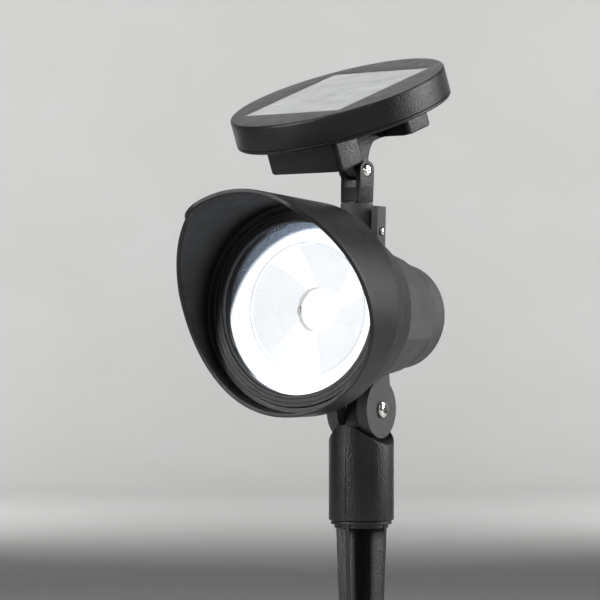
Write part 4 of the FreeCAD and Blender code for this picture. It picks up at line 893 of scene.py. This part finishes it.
# %% Panel base, battery box and hinge lug
base = turned("panel_floor", [(0, 24.4), (46, 24.4, 0), (50.5, 24.4, 1.5), (50.5, 26.0), (48.2, 26.0),
                              (48.2, 27.0), (0, 27.0)], PANEL, 0.2, 192, closed=False)
SCREW_REACH = 40.0 * math.cos(math.radians(45))
CORNERS = [(sx * SCREW_REACH, sy * SCREW_REACH) for sx in (-1, 1) for sy in (-1, 1)]
seats = [extruded("seat", circle(x, y, 2.8), 20, 25.7, PANEL, "z", 0) for x, y in CORNERS]
base = with_boolean(base, seats)
case_outline = rounded([(-20, -34.5, 2.5), (26, -34.5, 2.5), (26, -18, 2.5), (3.2, -18, 1.2), (3.2, 18, 1.2),
                        (20, 18, 2.5), (20, 34, 2.5), (-20, 34, 2.5)], 2.5, 5, closed=True)
case = extruded("battery_case", case_outline, 10.2, 24.8, PANEL, "z", 0.9)
slot_cut = extruded("slot", rectangle(7.9, 16.1, 24.1, 27.9), 9, 11.4, PANEL, "z", 0)
case = with_boolean(case, [slot_cut])
lug_outline = [(4.4 * math.cos(a), 4.4 * math.sin(a))
               for a in [math.pi + math.pi * k / 20 for k in range(21)]]
lug_outline += arc((4.4, 0), (13, 10.8), 14, 1) + [(-13, 10.8)] + arc((-13, 10.8), (-4.4, 0), 14, 1)[:-1]
hinge_lug = extruded("hinge_lug", lug_outline, -3.2, 3.2, PANEL, "x", 0.5)
base = joined([base, case, hinge_lug])
base.name = "panel_underside"
finish_piece(base, "panel", PANEL_BLACK, "panel_base")
base_places = [PANEL @ Matrix.Translation((x, y, 0)) @ TURN_OVER for x, y in CORNERS]
base_screws = copies_of(lambda name, place: screw(name, place, 1.3, -34.5, 2.6, -25.7, 1.2, 0.7),
                        base_places, "base_screw")
finish_piece(base_screws, "panel", BRIGHT_STEEL, "base_screws")
knob = extruded("switch_knob", rounded(rectangle(8.25, 12.75, 24.4, 27.6), 0.6, closed=True),
                8.8, 12.9, PANEL, "z", 0.4)
plate = extruded("switch_plate", rounded(rectangle(7.3, 13.7, 22.5, 29.5), 0.4, closed=True),
                 12.3, 13.5, PANEL, "z", 0.2)
knob = joined([knob, plate])
finish_piece(knob, "switch", KNOB_BLACK, "switch_slider")

# %% [markdown]
# ## CAD pieces that stay
# The small and hidden pieces are right as the CAD made them. They only need their finish.

# %% Finishes of the CAD nodes
CAD_FINISHES = {
    "knuckle_washers": NYLON,
    "knuckle_nut": NUT_STEEL,
    "lens_gasket": SEAL_BLACK,
    "emitter_dome": EMITTER,
    "led_chips": CHIP_LIGHT,
    "led_board": BOARD_WHITE,
    "heat_spreader": SPREADER_METAL,
    "board_screws": BRIGHT_STEEL,
    "housing_seal": SEAL_BLACK,
    "panel_nut": NUT_STEEL,
    "swivel_washer": BRIGHT_STEEL,
    "swivel_screw": BRIGHT_STEEL,
    "panel_seal": SEAL_BLACK,
    "battery": SLEEVE,
    "battery_contacts": NUT_STEEL,
    "charge_board": BOARD_GREEN,
    "charge_chips": CHIP_BLACK,
    "charge_board_screws": BRIGHT_STEEL,
    "switch_case": CHIP_BLACK,
    "solar_laminate": LAMINATE,
    "solar_wafers": SILICON,
    "solar_busbars": BUSBAR,
    "solar_cover": COVER_CLEAR,
}
for node, material in CAD_FINISHES.items():
    mesh = nodes[node].data
    mesh.materials.clear()
    mesh.materials.append(material)
print(len(CAD_FINISHES), "CAD nodes finished")

# %% [markdown]
# ## Stage, light and camera
# Black plastic shows only what it reflects, so the lamps are large and soft: one from the left front
# draws the long highlight on the tube and the patch inside the visor, one from the right and behind
# lifts the housing's flats, and a broad one above lights the panel. The camera stands level, a
# little to the lamp's right, far away with a long lens, which keeps the verticals upright.

# %% [markdown]
# The backdrop is a round bowl, so it is behind the lamp from every side. It is wide enough that a
# camera that steps back to see the whole stake still stands inside it.

# %% Backdrop
view_side = math.radians(31.16)
right = Vector((math.cos(view_side), math.sin(view_side), 0))
back = Vector((math.sin(view_side), -math.cos(view_side), 0))
FLOOR = cad_bounds[0][2] / MM - 2
ROOM = 4500.0
SWEEP = 900
WALL_HEIGHT = 2600
bowl_profile = [(0, FLOOR), (ROOM - SWEEP, FLOOR)]
bowl_profile += arc((ROOM - SWEEP, FLOOR), (ROOM, FLOOR + SWEEP), SWEEP, -1, 16)
bowl_profile += [(ROOM, FLOOR + WALL_HEIGHT)]
backdrop = spun("backdrop", lambda angle: bowl_profile, STAKE, 96)
paper, paper_tree, paper_shader = new_material("paper")
paper_shader.inputs["Roughness"].default_value = 0.9
paper_tree.links.new(colours(paper_tree, noise(paper_tree, 6), (0.50, 0.50, 0.49), (0.52, 0.52, 0.515)),
                     paper_shader.inputs["Base Color"])
backdrop.data.materials.append(paper)


# %% Lights
def softbox(name, place, target, width, height, power):
    """A soft rectangular lamp that points at its target and can't be seen itself."""
    light = bpy.data.lights.new(name, "AREA")
    light.shape = "RECTANGLE"
    light.size = width
    light.size_y = height
    light.energy = power
    obj = bpy.data.objects.new(name, light)
    obj.location = place
    obj.rotation_euler = (Vector(target) - Vector(place)).to_track_quat("-Z", "Y").to_euler()
    obj.visible_camera = False
    bpy.context.scene.collection.objects.link(obj)


AIM = Vector((0, -0.02, 0.10))
UP = Vector((0, 0, 1))
softbox("left_front", AIM - right * 1.0 + back * 0.62 + UP * 0.4, AIM, 0.28, 0.8, 19)
softbox("right_rim", AIM + right * 1.05 - back * 0.1 + UP * 0.35, AIM, 0.3, 0.8, 15)
softbox("right_front", AIM + right * 0.35 + back * 1.2 + UP * 0.45, AIM, 0.12, 0.6, 3.5)
softbox("overhead", AIM - back * 0.4 + UP * 1.1, AIM, 0.6, 0.6, 5)
softbox("sky", AIM - back * 1.15 - right * 0.15 + UP * 0.7, AIM, 0.9, 0.45, 0.9)
for side in (-1, 1):
    softbox("backdrop_lamp", AIM - back * 2.8 + right * side * 1.3 + UP * 0.3,
            AIM - back * 4.5 + right * side * 0.4 - UP * 0.1, 1.0, 1.0, 30)
world = bpy.data.worlds.new("studio")
world.use_nodes = True
world.node_tree.nodes["Background"].inputs["Color"].default_value = (0.92, 0.94, 1.0, 1)
world.node_tree.nodes["Background"].inputs["Strength"].default_value = 0.05
bpy.context.scene.world = world
bpy.context.scene.view_settings.view_transform = "Standard"

# %% Camera
CAMERA_DISTANCE = 1.9
FRAME_WIDTH = 600
METRE_IN_FRAME = 2175.1
SIDE_OFFSET = -0.0282
UP_OFFSET = 0.0500
camera_data = bpy.data.cameras.new("camera")
camera_data.sensor_width = 36
camera_data.lens = camera_data.sensor_width * METRE_IN_FRAME * CAMERA_DISTANCE / FRAME_WIDTH
camera_data.clip_start = 0.05
camera = bpy.data.objects.new("camera", camera_data)
camera.location = pivot + right * SIDE_OFFSET + Vector((0, 0, UP_OFFSET)) + back * CAMERA_DISTANCE
camera.rotation_euler = (-back).to_track_quat("-Z", "Y").to_euler()
bpy.context.scene.collection.objects.link(camera)
bpy.context.scene.camera = camera
print("lens", round(camera_data.lens, 1), "mm")
